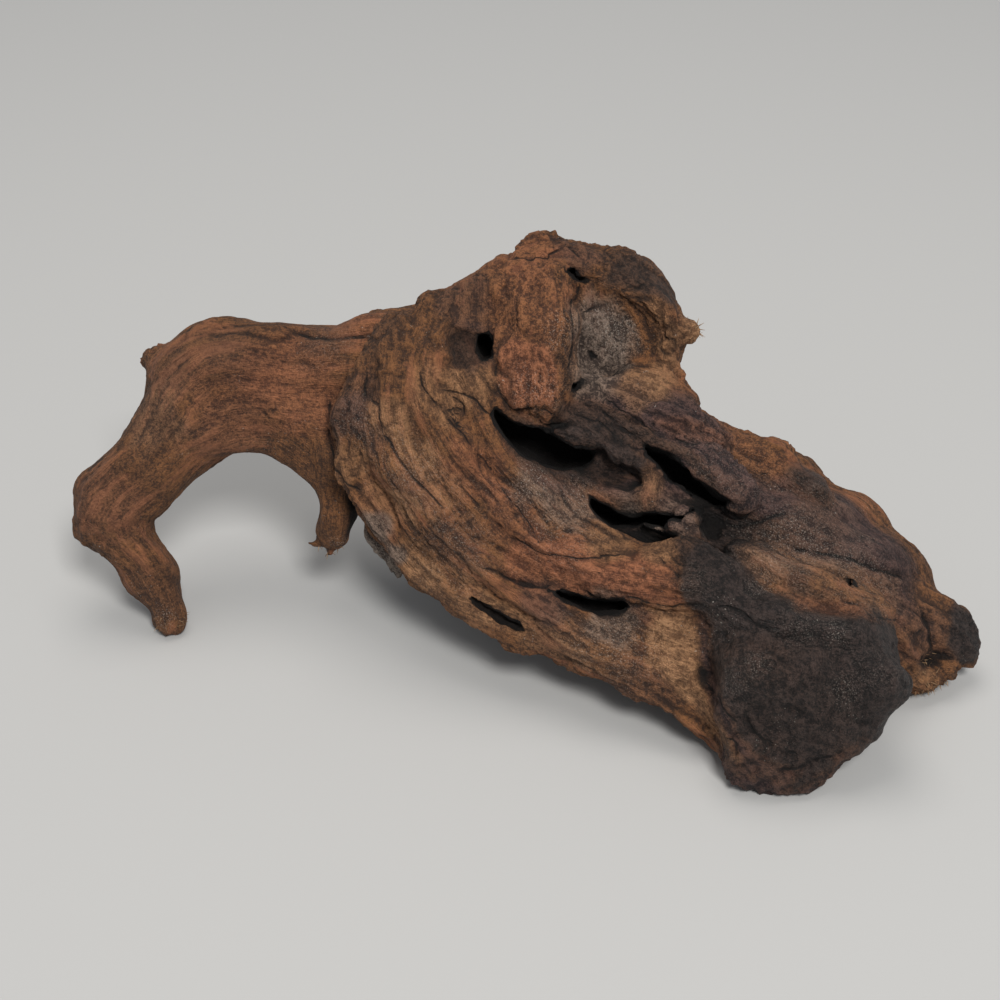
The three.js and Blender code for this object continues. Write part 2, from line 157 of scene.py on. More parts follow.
@dataclass(frozen=True)
class Sight:
    """The camera of the photograph, in the sketch frame. Pixels are those of its 1000 by 1000 frame."""

    elevation: float = math.radians(35)
    target: tuple = (0.0, 0.0, 40.0)
    distance: float = 650.0
    focal_pixels: float = 1969.7
    centre_pixel: float = 500.0

    SIGHT_SLACK = 1.0

    @property
    def forward(self) -> np.ndarray:
        """The way the camera looks."""
        return np.array([0.0, math.cos(self.elevation), -math.sin(self.elevation)])

    @property
    def up(self) -> np.ndarray:
        """The camera's upward direction."""
        return np.array([0.0, math.sin(self.elevation), math.cos(self.elevation)])

    @property
    def place(self) -> np.ndarray:
        """Where the camera stands."""
        return np.array(self.target) - self.forward * self.distance

    def pixels(self, points: np.ndarray) -> tuple:
        """Where points show in the photograph.

        Args:
            points: Rows of x, y, z in the sketch frame.

        Returns:
            Their columns and rows in one array, and their depths from the camera in another.
        """
        offset = points - self.place
        depth = offset @ self.forward
        column = self.centre_pixel + self.focal_pixels * offset[:, 0] / depth
        row = self.centre_pixel - self.focal_pixels * (offset @ self.up) / depth
        return np.stack([column, row], axis=1), depth

    def land(self, pixel: tuple, tree: BVHTree) -> np.ndarray | None:
        """The point of the wood that shows at a pixel.

        Args:
            pixel: Its column and row.
            tree: The wood's skin.

        Returns:
            A point in the sketch frame, or None where the pixel shows no wood.
        """
        right = np.array([1.0, 0.0, 0.0])
        ray = self.forward * self.focal_pixels + right * (pixel[0] - self.centre_pixel)
        ray = ray - self.up * (pixel[1] - self.centre_pixel)
        hit = tree.ray_cast(Vector(self.place), Vector(ray / np.linalg.norm(ray)))[0]
        return None if hit is None else np.array(hit)

    def sees(self, points: np.ndarray, tree: BVHTree) -> np.ndarray:
        """Which points of the skin the camera sees.

        Args:
            points: Rows of x, y, z on the skin.
            tree: The skin.

        Returns:
            True for each point with no wood before it.
        """
        eye = Vector(self.place)
        seen = np.zeros(len(points), dtype=bool)
        for number, point in enumerate(points):
            ray = Vector(point) - eye
            reach = tree.ray_cast(eye, ray)[3]
            seen[number] = reach is None or reach > ray.length - self.SIGHT_SLACK
        return seen


SIGHT = Sight()


def outline_gap(spots: np.ndarray, outline: tuple) -> np.ndarray:
    """Distance of flat spots from a closed outline.

    Args:
        spots: Rows of column and row.
        outline: The corners of the outline.

    Returns:
        A distance for each spot, negative inside.
    """
    corners = np.array(outline, dtype=float)
    nearest = np.full(len(spots), np.inf)
    inside = np.zeros(len(spots), dtype=bool)
    for start, end in zip(corners, np.roll(corners, -1, axis=0)):
        span = end - start
        offset = spots - start
        t = np.clip(offset @ span / (span @ span), 0, 1)
        nearest = np.minimum(nearest, np.linalg.norm(offset - t[:, None] * span, axis=1))
        straddles = (start[1] > spots[:, 1]) != (end[1] > spots[:, 1])
        rise = span[1] if span[1] else 1.0
        inside ^= straddles & (spots[:, 0] < start[0] + span[0] * (spots[:, 1] - start[1]) / rise)
    return np.where(inside, -nearest, nearest)


@dataclass(frozen=True)
class Carving:
    """A rotted hollow that runs straight back along the photograph's line of sight.

    Attributes:
        outline: Its mouth, as pixels of the photograph.
        floor: Distance of its floor from the camera, in millimetres.
        weld: Rounding of its edges.
        ragged: How far its edge strays, in pixels.
        shade: How much painted shade darkens it inside, from 0 to 1.
    """

    outline: tuple
    floor: float
    weld: float = 1.2
    ragged: float = 1.5
    shade: float = 1.0

    STRAY_SIZE = 2.6
    STRAY_SEEDS = (71, 72)
    FLOOR_WELD = 4.0

    def near(self, points: np.ndarray, margin: float) -> np.ndarray:
        """Finds the points that show near the outline.

        Args:
            points: Rows of x, y, z.
            margin: How near, in millimetres.

        Returns:
            Their indices.
        """
        spots, depth = SIGHT.pixels(points)
        reach = margin * SIGHT.focal_pixels / depth.min()
        corners = np.array(self.outline)
        low, high = corners.min(axis=0) - reach, corners.max(axis=0) + reach
        shown = ((spots > low) & (spots < high)).all(axis=1) & (depth < self.floor + margin)
        return np.nonzero(shown)[0]

    def gap(self, points: np.ndarray) -> np.ndarray:
        """Distance of points from the hollow."""
        spots, depth = SIGHT.pixels(points)
        stray = np.stack([lattice_noise(points / self.STRAY_SIZE, seed) for seed in self.STRAY_SEEDS], axis=1)
        side = outline_gap(spots + self.ragged * stray, self.outline) * depth / SIGHT.focal_pixels
        return -weld_on(-side, self.floor - depth, self.FLOOR_WELD).astype(np.float32)


@dataclass
class Reading:
    """How some points lie by a strand: the distance from it, and the place along and across its grain."""

    gap: np.ndarray
    run: np.ndarray
    across: np.ndarray
    over: np.ndarray


@dataclass(frozen=True)
class Sweep:
    """Wood or rot swept along a smooth path.

    Attributes:
        path: Rows of x, y, z and girth radius, in the sketch frame.
        weld: Fillet to what is already there.
        flute: Depth of the flutes that run along the grain.
        stretch: How much deeper than wide a gap is.
        tint: What the strand has weathered to.
        ragged: How rough the surface is, against 1 for a common strand.
        crust: How far crumbling crust hides the grain, from 0 to 1.
    """

    path: tuple
    weld: float = 3.0
    flute: float = 0.0
    stretch: float = 1.0
    tint: Tint = Tint.BROWN
    ragged: float = 1.0
    crust: float = 0.2

    SAMPLES_PER_SPAN = 5
    FIRST_SIDE = (0.3, -0.8, 0.5)

    @cached_property
    def nodes(self) -> np.ndarray:
        """The path sampled along a uniform Catmull-Rom curve."""
        rows = np.asarray(self.path, dtype=float)
        ends = np.vstack([2 * rows[0] - rows[1], rows, 2 * rows[-1] - rows[-2]])
        out = []
        for a, b, c, d in zip(ends, ends[1:], ends[2:], ends[3:]):
            for t in np.arange(self.SAMPLES_PER_SPAN) / self.SAMPLES_PER_SPAN:
                bend = 2 * a - 5 * b + 4 * c - d
                twist = 3 * b - a - 3 * c + d
                out.append(b + 0.5 * ((c - a) * t + bend * t ** 2 + twist * t ** 3))
        out.append(rows[-1])
        return np.array(out)

    @cached_property
    def sides(self) -> np.ndarray:
        """A sideways direction at each node, turned along the path without twist."""
        tangents = np.gradient(self.nodes[:, :3], axis=0)
        tangents /= np.linalg.norm(tangents, axis=1, keepdims=True)
        side = np.cross(tangents[0], self.FIRST_SIDE)
        out = []
        for tangent in tangents:
            side = side - tangent * (side @ tangent)
            side = side / np.linalg.norm(side)
            out.append(side)
        return np.array(out)

    @cached_property
    def runs(self) -> np.ndarray:
        """Length along the path at each node."""
        steps = np.linalg.norm(np.diff(self.nodes[:, :3], axis=0), axis=1)
        return np.concatenate([[0.0], np.cumsum(steps)])

    def near(self, points: np.ndarray, margin: float) -> np.ndarray:
        """Indices of the points within a margin of the box round the sweep."""
        reach = self.nodes[:, 3:] * self.stretch + margin
        low = (self.nodes[:, :3] - reach).min(axis=0)
        high = (self.nodes[:, :3] + reach).max(axis=0)
        return np.nonzero(((points > low) & (points < high)).all(axis=1))[0]

    def read(self, points: np.ndarray) -> Reading:
        """Measures points against the sweep.

        Args:
            points: Rows of x, y, z in the sketch frame.

        Returns:
            Their distance and grain coordinates.
        """
        count = len(points)
        px, py, pz = (np.ascontiguousarray(column) for column in points.T.astype(np.float32))
        gap = np.full(count, FAR, dtype=np.float32)
        run, across, over = (np.zeros(count, dtype=np.float32) for _ in range(3))
        nodes = self.nodes.astype(np.float32)
        view = GAP_DIRECTION.astype(np.float32)
        for i in range(len(nodes) - 1):
            start, end = nodes[i], nodes[i + 1]
            span = end[:3] - start[:3]
            dx, dy, dz = px - start[0], py - start[1], pz - start[2]
            t = np.clip((dx * span[0] + dy * span[1] + dz * span[2]) / (span @ span), 0, 1)
            dx -= t * span[0]
            dy -= t * span[1]
            dz -= t * span[2]
            if self.stretch != 1:
                deep = (dy * view[1] + dz * view[2]) * (1 - 1 / self.stretch)
                dy -= deep * view[1]
                dz -= deep * view[2]
            here = np.sqrt(dx * dx + dy * dy + dz * dz) - (start[3] + t * (end[3] - start[3]))
            best = here < gap
            gap[best] = here[best]
            side = self.sides[i]
            other = np.cross(span / np.linalg.norm(span), side)
            run[best] = (self.runs[i] + t * (self.runs[i + 1] - self.runs[i]))[best]
            across[best] = (dx * side[0] + dy * side[1] + dz * side[2])[best]
            over[best] = (dx * other[0] + dy * other[1] + dz * other[2])[best]
        if self.flute:
            gap -= self.flutes(gap, run, np.arctan2(over, across))
        return Reading(gap, run, across, over)

    def flutes(self, gap: np.ndarray, run: np.ndarray, angle: np.ndarray) -> np.ndarray:
        """Height of the flutes, five broad ones crossed by eight fine ones, which fade towards the heart.

        Args:
            gap: Distances from the strand without its flutes.
            run: Places along it.
            angle: Places round it, in radians.

        Returns:
            A height for each point.
        """
        girth = self.nodes[:, 3].mean()
        phase = self.nodes[0, 0]
        broad = 0.6 * np.sin(5 * angle + phase + 1.3 * np.sin(run / 23))
        fine = 0.4 * np.sin(8 * angle + 2 * phase + 2 * np.sin(run / 17 + phase))
        return self.flute * (broad + fine) * np.clip((gap + girth) / girth, 0, 1)

    def gap(self, points: np.ndarray) -> np.ndarray:
        """Distance of points from the sweep."""
        return self.read(points).gap


@dataclass(frozen=True)
class Egg:
    """A rounded mass or bowl, leaning about X by some degrees."""

    centre: tuple
    radii: tuple
    lean: float
    weld: float
    tint: Tint = Tint.BROWN
    ragged: float = 1.0
    crust: float = 0.7

    def near(self, points: np.ndarray, margin: float) -> np.ndarray:
        """Indices of the points within a margin of a box round the egg."""
        reach = max(self.radii) + margin
        return np.nonzero((np.abs(points - np.array(self.centre)) < reach).all(axis=1))[0]

    def read(self, points: np.ndarray) -> Reading:
        """Measures points against the egg, whose grain runs up and curls round it."""
        x, y, z = (points - np.array(self.centre)).T
        curl = 0.35 * np.sin(x / 14) + 0.25 * np.sin(z / 11)
        across = x * np.cos(curl) + z * np.sin(curl)
        return Reading(self.gap(points), z * np.cos(curl) - x * np.sin(curl), across, y)

    def gap(self, points: np.ndarray) -> np.ndarray:
        """Distance of points from the egg's surface, about.

        Args:
            points: Rows of x, y, z in the sketch frame.

        Returns:
            A distance for each point, negative inside.
        """
        sine, cosine = math.sin(math.radians(self.lean)), math.cos(math.radians(self.lean))
        x, y, z = (points - np.array(self.centre, dtype=np.float32)).T
        flat = np.stack([x, cosine * y + sine * z, cosine * z - sine * y], axis=1) / np.array(self.radii)
        reach = np.linalg.norm(flat, axis=1)
        steep = np.linalg.norm(flat / np.array(self.radii), axis=1)
        return (reach * (reach - 1) / np.maximum(steep, 1e-6)).astype(np.float32)


# The strands that the solid is made of, with the colour and roughness of each. Some stand a few
# millimetres off the solid's own, to follow the photograph more closely.
STRANDS = {
    "core": Sweep(
        ((-30, 12, 66, 18), (-7, 10, 60, 23), (20, 8, 50, 25), (45, -4, 44, 25), (71, -18, 38, 25),
         (96, -30, 31, 24), (113, -36, 27, 19)),
        weld=8, tint=Tint.UMBER_AND_SHADE,
    ),
    "arm_upper": Sweep(
        ((-16, 14, 89, 16), (-39, 17, 83, 15), (-65, 18, 79.5, 14.3), (-87, 17, 82, 14.7), (-99, 14, 77, 15),
         (-109, 5, 61, 11.5), (-123.5, -3, 44, 9.5)),
        weld=6, flute=0.6, ragged=0.6,
    ),
    "arm_lower": Sweep(
        ((-23, 2, 66, 16), (-45, 6, 67, 14), (-65, 9, 67, 12), (-83, 10, 68, 12.5), (-98, 8, 63, 13),
         (-111, 3, 54.4, 12.2), (-128, -5, 40.5, 13), (-118.2, -12, 26, 9.2), (-111, -16, 12, 6.8),
         (-110.5, -18, 3.4, 5.7)),
        weld=8, flute=0.6, ragged=0.6,
    ),
    "arm_ridge": Sweep(
        ((-10, 23, 95, 8.5), (-29, 27, 84.5, 7), (-51, 30, 81.5, 6.5), (-69, 28, 82, 6), (-85, 22, 87, 7),
         (-94, 17, 88, 8)),
        weld=2.5, flute=0.5, ragged=0.8,
    ),
    "arm_nub": Sweep(((-102, 18, 80, 8), (-109.5, 23, 80, 6), (-114, 26, 77.5, 3.7)), weld=4),
    "stub_root": Sweep(((-66, 3, 61, 8), (-60.5, 0.5, 57.7, 8), (-54, -2, 54, 8)), weld=6, ragged=0.6),
    "broken_stub": Sweep(
        ((-53, -2, 62, 9), (-53, -4, 50, 7.2), (-53.3, -6.5, 41, 6.5), (-54, -8, 32, 5.7)),
        weld=3, ragged=0.6,
    ),
    "plate_edge": Sweep(
        ((-41, -7, 86, 9), (-45, -12, 74, 8.5), (-42, -17, 59, 8), (-34, -22, 48, 8), (-27, -28, 39, 8),
         (-17, -34, 33, 8), (-3, -42, 29, 8), (14, -50, 26, 8), (31, -58, 23, 8.5), (48, -65, 20, 8),
         (62, -73, 14, 8), (71, -82, 8, 7)),
        weld=2.5, flute=0.9, ragged=1.1,
    ),
    "plate_second": Sweep(
        ((-31, -2, 99, 10), (-33, -11, 86, 11), (-30, -19, 72, 11), (-22, -27, 59, 11), (-9, -35, 47, 11),
         (8, -43, 38, 10), (25, -51, 30, 10), (40, -58, 25, 9.5), (57, -66, 22, 9)),
        weld=3.5, flute=1, ragged=1.1,
    ),
    "plate_ridge": Sweep(
        ((-17, 4, 107, 9), (-22, -7, 96, 10), (-19, -17, 82, 10), (-9, -27, 68, 10), (5, -36, 56, 9),
         (20, -43, 49, 8), (37, -50, 48, 7.5), (56, -57, 49, 7.5)),
        weld=2.5, flute=1, tint=Tint.BROWN,
    ),
    "plate_lip": Sweep(
        ((-12, -6, 98, 9), (-7, -14, 90, 8), (0, -23, 75, 7), (14, -31, 62, 6.5), (28, -38, 53, 6),
         (43, -45, 50, 5.5), (58, -50, 52, 6)),
        weld=3, flute=0.6, ragged=0.8,
    ),
    "head_left": Sweep(((-18, 8, 100, 8.3), (-9, 9, 107.5, 8.8), (0, 11, 114.5, 9)), weld=4, flute=0.8),
    "crest": Sweep(
        ((1, 12, 114, 6.5), (8, 14, 116, 7.5), (16, 15, 120.5, 9), (27, 15, 115.5, 7), (36, 14, 112.5, 6.5),
         (44, 12, 110.5, 6), (49, 10, 107, 6), (51.5, 7, 101, 5), (53.2, 4, 92, 4.5), (54.2, 1, 83, 4.5),
         (57, -3, 76, 6)),
        weld=3, flute=0.8, ragged=1.4, crust=0.7,
    ),
    "crest_nub": Sweep(((55, 8, 99, 4.8), (58, 8, 99.5, 4.2)), weld=1.5, ragged=1.4, tint=Tint.TAN),
    "shoulder_ridge": Sweep(
        ((66, -1, 64, 6), (84, -4, 52, 9.5), (101, -11, 42, 12.6), (118.5, -19.5, 31, 13.6),
         (131, -27, 20, 12)),
        weld=7, flute=0.8, ragged=0.8,
    ),
    "dome_upper": Sweep(
        ((66, -20, 56, 10), (84, -26, 52, 12), (101, -30, 44, 14), (114, -32, 33, 14)),
        weld=5, flute=0.7, ragged=0.8, tint=Tint.UMBER_AND_SHADE,
    ),
    "thigh": Sweep(
        ((74, -46, 50, 6), (86, -52, 46, 9), (100, -56, 41, 10), (112, -54, 36, 9)),
        weld=2, flute=0.7, ragged=0.8,
    ),
    "stump": Sweep(
        ((88, -34, 27, 22), (87, -60, 24, 23), (86, -89, 21.5, 21.5)), weld=5, flute=0.6, tint=Tint.UMBER_AND_SHADE,
    ),
    "stump_corner_left": Sweep(((77, -58, 35, 10), (75, -86, 33, 9.5)), weld=5, flute=0.4, tint=Tint.UMBER_AND_SHADE),
    "stump_corner_right": Sweep(
        ((104, -56, 34, 12), (109.5, -83, 30, 12)),
        weld=5, flute=0.4, tint=Tint.CHAR_AND_SHADE,
    ),
    "stump_heel": Sweep(((84, -62, 16, 16), (80, -97, 10.5, 11.5)), weld=5, flute=0.4, tint=Tint.UMBER_AND_SHADE),
    "stump_corner_low": Sweep(
        ((104, -56, 24, 13), (105.5, -82.5, 22.5, 12)),
        weld=5, flute=0.4, tint=Tint.CHAR_AND_SHADE,
    ),
    "tail": Sweep(((121, -36, 25, 13), (136, -38.5, 18.5, 10.8), (148.3, -41, 13, 6.6)), weld=5, flute=0.5),
    "tail_under": Sweep(
        ((118, -46, 22, 12), (129, -50, 13, 8.5), (134, -51, 8, 6)),
        weld=3, flute=0.6, ragged=1.5,
    ),
    "under_flake": Sweep(
        ((-43, -8, 44, 4.5), (-37, -14, 36, 5), (-33, -18, 29, 4.5)), weld=1.5, ragged=1.6, tint=Tint.GREY,
    ),
    "back_upper": Sweep(
        ((-40, 26, 84, 10), (-10, 30, 80, 14), (25, 26, 74, 15), (60, 12, 55, 12), (88, -2, 46, 13),
         (112, -16, 32, 12)),
        weld=6, flute=1,
    ),
    "back_lower": Sweep(
        ((-34, 20, 66, 11), (0, 30, 52, 13), (35, 26, 40, 14), (70, 8, 30, 13), (98, -8, 22, 12)),
        weld=5, flute=1, tint=Tint.UMBER_AND_SHADE,
    ),
    "back_root": Sweep(
        ((58, 12, 44, 14), (68, 28, 28, 12), (75, 37, 13, 9), (77, 41, 2, 8)),
        weld=5, flute=0.8,
    ),
    "keel": Sweep(
        ((-27, -6, 62, 12), (-14, -16, 51, 15), (4, -26, 41, 16), (30, -38, 31, 16), (58, -52, 24, 15),
         (84, -60, 22, 16)),
        weld=4, flute=0.8, tint=Tint.UMBER_AND_SHADE,
    ),
}

# Strands that cross a hollow, so they are welded on after it is cut.
BRIDGING = {
    "tongue": Sweep(
        ((8, 6, 117, 9), (8, -1, 107, 10.5), (8, -6, 98, 11), (8, -10, 91, 9.5)),
        weld=4, flute=0.4, ragged=1.3, crust=0.9,
    ),
    "tongue_side": Sweep(
        ((15, 4, 117, 8), (15, -4, 106, 9), (15, -9, 96, 9), (14, -12, 89, 8)),
        weld=3, flute=0.4, ragged=1.2, crust=0.9,
    ),
    "brow": Sweep(
        ((14, -6, 84, 6), (24, -10, 80, 7), (36, -14, 76, 7), (50, -20, 73, 7.5), (63, -26, 69, 8),
         (72, -31, 65, 7.5)),
        weld=2.5, flute=0.6, ragged=1.5, tint=Tint.UMBER_AND_SHADE, crust=0.8,
    ),
    "brow_upper": Sweep(
        ((26, -6, 85, 7), (40, -9, 82, 8), (54, -12, 78, 8), (64, -14, 74, 7)),
        weld=3, ragged=1.6, tint=Tint.UMBER_AND_SHADE, crust=0.8,
    ),
    "band": Sweep(
        ((61, -5, 70.5, 6.5), (73, -11, 66, 8), (87, -17, 63.5, 7.5), (97, -23, 60, 6)),
        weld=3, flute=0.7, ragged=1.2, crust=0.6,
    ),
    "bridge": Sweep(
        ((22, -12, 64, 6), (33, -20, 60, 7), (46, -27, 57, 7.5), (60, -33, 54, 7)),
        weld=2.5, flute=0.5, ragged=0.8, tint=Tint.GREY,
    ),
    "cheek": Sweep(((-6.2, 5.8, 111, 8), (-6.2, -2.1, 99.7, 8), (-4, -11.8, 85.8, 8)), weld=5),
    "slope": Sweep(
        ((4.7, -13.8, 72.7, 8), (14.2, -16.6, 65.1, 9), (23.6, -21.1, 60.5, 9), (31.5, -24.6, 57.2, 8)),
        weld=6, ragged=0.7,
    ),
    "bridge_upper": Sweep(
        ((27, -14.2, 61.6, 8), (37.6, -22.6, 63.5, 8), (56.7, -22.8, 59.8, 7)), weld=3, tint=Tint.UMBER_AND_SHADE,
    ),
    "strap": Sweep(
        ((58, -50, 53, 7), (65, -57, 46, 8.5), (74, -65, 42, 8.5), (87, -71, 41, 8), (103, -71, 38, 7.5),
         (114, -67, 30, 8)),
        weld=3, flute=0.5, ragged=1.3, tint=Tint.CHAR_AND_SHADE, crust=0.8,
    ),
}

# Finer strands, which only the dressed wood has.
FINE_STRANDS = {
    "uvula": Sweep(
        ((31, -18, 76, 6), (36, -22, 74, 5), (41, -26, 70.5, 3)),
        weld=3, tint=Tint.UMBER_AND_SHADE, ragged=1.8, crust=0.8,
    ),
    "drop": Sweep(
        ((48.5, -20.2, 68.7, 3), (46.1, -27.7, 63.2, 5), (45.4, -31.7, 59.2, 3)), weld=2.5, ragged=0.8,
    ),
    "tail_flake": Sweep(((122, -48, 14, 8), (132, -48, 12.5, 6.5), (140, -48, 11, 5.2)), weld=3, ragged=1.6),
    "stump_toe": Sweep(((95, -62, 18, 14), (93, -90, 17, 12.5)), weld=5, flute=0.4, tint=Tint.CHAR_AND_SHADE),
    "bowl_sill": Sweep(((42, -2, 86, 6), (50, -3, 84, 6), (56, -5, 80, 6)), weld=4, ragged=0.8),
    "lip_backing": Sweep(((46, -52, 37, 5), (56, -57, 35, 6.5), (66, -62, 36, 6.5)), weld=4),
    "rubble": Sweep(
        ((56, -37.5, 58, 5), (61, -40, 55.5, 4)),
        weld=1.5, tint=Tint.UMBER_AND_SHADE, ragged=2.0, crust=0.8,
    ),
    "stub_splinter": Sweep(
        ((-57, -9, 31, 2), (-60.5, -10, 29.5, 1.1), (-63, -10, 31, 0.8)),
        weld=1, ragged=0.5,
    ),
    "stub_splinter_low": Sweep(((-56, -9, 30, 2), (-56.5, -10, 25.5, 1.2)), weld=1, ragged=0.5),
    "rim_fibre": Sweep(((52, 6, 104, 2.6), (55, 3, 95, 2.2), (53, 0, 86, 2)), weld=1, tint=Tint.RUST),
    "lip_crust": Sweep(
        ((2, -17, 84, 3), (12, -19, 79, 3.4), (22, -19, 77, 3.4), (33, -21, 73, 3.2), (44, -25, 70, 3)),
        weld=3, ragged=1.8, tint=Tint.CHAR_AND_SHADE,
    ),
    "brow_knob": Sweep(
        ((92, -24, 64, 3), (98, -27, 61, 3.6)),
        weld=2.5, tint=Tint.UMBER_AND_SHADE, ragged=1.6, crust=0.9,
    ),
}

# The rotted gaps.
GAPS = {
    "fold": Sweep(((84, -44, 57, 1.2), (96, -50, 52, 1.7), (110, -54, 45, 1.2)), 1, stretch=1.6),
}

# The outline of the shallow charred dish at the bowl's left, as pixels of the photograph; its hollow is
# darkened inside by painted shade.
DISH = (
    (452, 329), (466, 332), (478, 334), (490, 335), (493, 346), (488, 358), (474, 363), (460, 369),
    (453, 366), (449, 348),
)

# The rotted hollows, each darkened inside by painted shade as far as its shade says.
CARVINGS = {
    "upper_cavity": Carving((
        (495, 406), (502, 414), (512, 421), (526, 425), (540, 426), (549, 430), (558, 436), (566, 441),
        (577, 445), (588, 448), (594, 454), (592, 461), (582, 467), (562, 469), (542, 464), (524, 456),
        (510, 443), (501, 430), (493, 416),
    ), floor=634),
    "slit": Carving((
        (640, 448), (646, 446), (652, 448), (664, 453), (674, 457), (684, 464), (694, 470), (700, 479),
        (708, 488), (717, 496), (730, 500), (726, 507), (712, 505), (700, 498), (688, 491), (678, 484),
        (668, 479), (661, 472), (655, 463), (645, 457),
    ), floor=628),
    "lower_slit": Carving((
        (589, 496), (596, 501), (606, 506), (616, 512), (624, 517), (634, 518), (645, 514), (662, 514),
        (680, 516), (688, 511), (704, 506), (692, 513), (682, 520), (669, 522), (667, 528), (655, 526),
        (642, 523), (626, 526), (612, 527), (604, 521), (597, 516), (592, 508),
    ), floor=632),
    "recess": Carving((
        (547, 588), (560, 591), (574, 594), (588, 598), (604, 600), (622, 600), (630, 605), (620, 612),
        (602, 613), (588, 611), (574, 606), (560, 599),
    ), floor=620),
    "low_crack": Carving((
        (469, 594), (480, 600), (492, 607), (505, 614), (517, 621), (525, 628), (516, 629), (501, 622),
        (487, 614), (475, 604),
    ), floor=619, weld=0.8),
    "dish": Carving(DISH, floor=608, weld=2.5, ragged=2.5, shade=0.62),
    "pocket": Carving((
        (700, 507), (712, 508), (722, 513), (728, 522), (722, 538), (712, 542), (704, 534), (699, 520),
    ), floor=613.5, weld=2, ragged=3.5, shade=0.8),
    "ledge": Carving((
        (588, 452), (604, 447), (614, 462), (634, 468), (644, 484), (628, 490), (602, 486), (580, 474),
    ), floor=617, weld=3, ragged=2.5, shade=0.6),
    "dish_hole": Carving(((479, 334), (488, 333), (495, 343), (491, 356), (482, 361), (477, 347)), floor=626),
    "bowl_notch": Carving(
        ((588, 354), (595, 353), (604, 357), (613, 363), (605, 363), (597, 360), (591, 364)),
        624, weld=0.8,
    ),
    "bowl_hole": Carving(
        ((569, 391), (571, 382), (577, 380), (583, 381), (579, 386), (573, 392)),
        622, weld=0.8,
    ),
    "head_crack": Carving(
        ((561, 271), (571, 268), (580, 275), (588, 283), (583, 283), (574, 275)),
        617, weld=0.6,
    ),
}

HEAD = Egg(centre=(28.5, 14, 94), radii=(31, 16, 30.5), lean=-20, weld=6)
BOWL = Egg(centre=(38, -8, 98), radii=(19, 14, 20), lean=-25, weld=5)

# The blunt face of the knob: a point on it and the way it faces.
KNOB_FACE_POINT = np.array([88.0, -95.0, 28.0])
KNOB_FACE_NORMAL = np.array([0.05, -0.98, 0.2]) / np.linalg.norm([0.05, -0.98, 0.2])
KNOB_FACE_WELD = 5


class WoodField:
    """All the wood as one field of distances in the sketch frame, negative inside."""

    BOX_MARGIN = 12.0
    LOW = np.array([-148.0, -108.0, -9.0])
    HIGH = np.array([164.0, 62.0, 141.0])
    BLOCK = 4

    def __init__(self) -> None:
        """Lists the layers in the order that they are welded on or cut out."""
        welded = [HEAD, *STRANDS.values()]
        late = [*BRIDGING.values(), *FINE_STRANDS.values()]
        self.layers = [(layer, weld_on) for layer in welded]
        self.layers.append((BOWL, cut_away))
        self.layers += [(layer, weld_on) for layer in late]
        self.layers += [(layer, cut_away) for layer in (*GAPS.values(), *CARVINGS.values())]

    def gap(self, points: np.ndarray, lists: list | None = None) -> np.ndarray:
        """Distance of points from the wood.

        Args:
            points: Rows of x, y, z.
            lists: For each layer, the indices of the points that it can reach, if known.

        Returns:
            A distance for each point, negative inside.
        """
        moved = wander(points)
        total = np.full(len(points), FAR, dtype=np.float32)
        for number, (layer, join) in enumerate(self.layers):
            places = points if isinstance(layer, Carving) else moved
            chosen = layer.near(places, self.BOX_MARGIN) if lists is None else lists[number]
            if len(chosen):
                total[chosen] = join(total[chosen], layer.gap(places[chosen]), layer.weld)
        past_face = (moved - KNOB_FACE_POINT) @ KNOB_FACE_NORMAL
        total = -weld_on(-total, -past_face.astype(np.float32), KNOB_FACE_WELD)
        return np.maximum(total, -points[:, 2].astype(np.float32))

    def sampled(self, step: float) -> np.ndarray:
        """The field on a dense grid, worked out only near the surface.

        Args:
            step: Spacing of the grid, in millimetres.

        Returns:
            Distances, with a rough fill away from the surface.
        """
        block = step * self.BLOCK
        shape = np.ceil((self.HIGH - self.LOW) / block).astype(int)
        cells = np.stack(np.meshgrid(*(np.arange(n) for n in shape), indexing="ij"), axis=-1).reshape(-1, 3)
        centres = self.LOW + (cells + 0.5) * block - step / 2
        radius = 1.2 * block * math.sqrt(3) / 2
        coarse = self.gap(centres)
        near = np.abs(coarse) < radius
        fill = np.sign(coarse).reshape(shape) * radius
        field_values = fill.astype(np.float32)
        for axis in range(3):
            field_values = field_values.repeat(self.BLOCK, axis)
        sides = [np.arange(self.BLOCK)] * 3
        offsets = np.stack(np.meshgrid(*sides, indexing="ij"), axis=-1).reshape(1, -1, 3)
        index = (cells[near][:, None, :] * self.BLOCK + offsets).reshape(-1, 3)
        per_cell = self.BLOCK ** 3
        lists = []
        for layer, join in self.layers:
            places = centres[near] if isinstance(layer, Carving) else wander(centres[near])
            box = layer.near(places, self.BOX_MARGIN)
            bound = radius if join is cut_away else coarse[near][box] + radius
            reach = layer.gap(places[box]) < bound + radius + layer.weld
            kept = box[reach]
            lists.append((kept[:, None] * per_cell + np.arange(per_cell)).ravel())
        values = self.gap(self.LOW + index * step, lists)
        field_values[index[:, 0], index[:, 1], index[:, 2]] = values
        return field_values


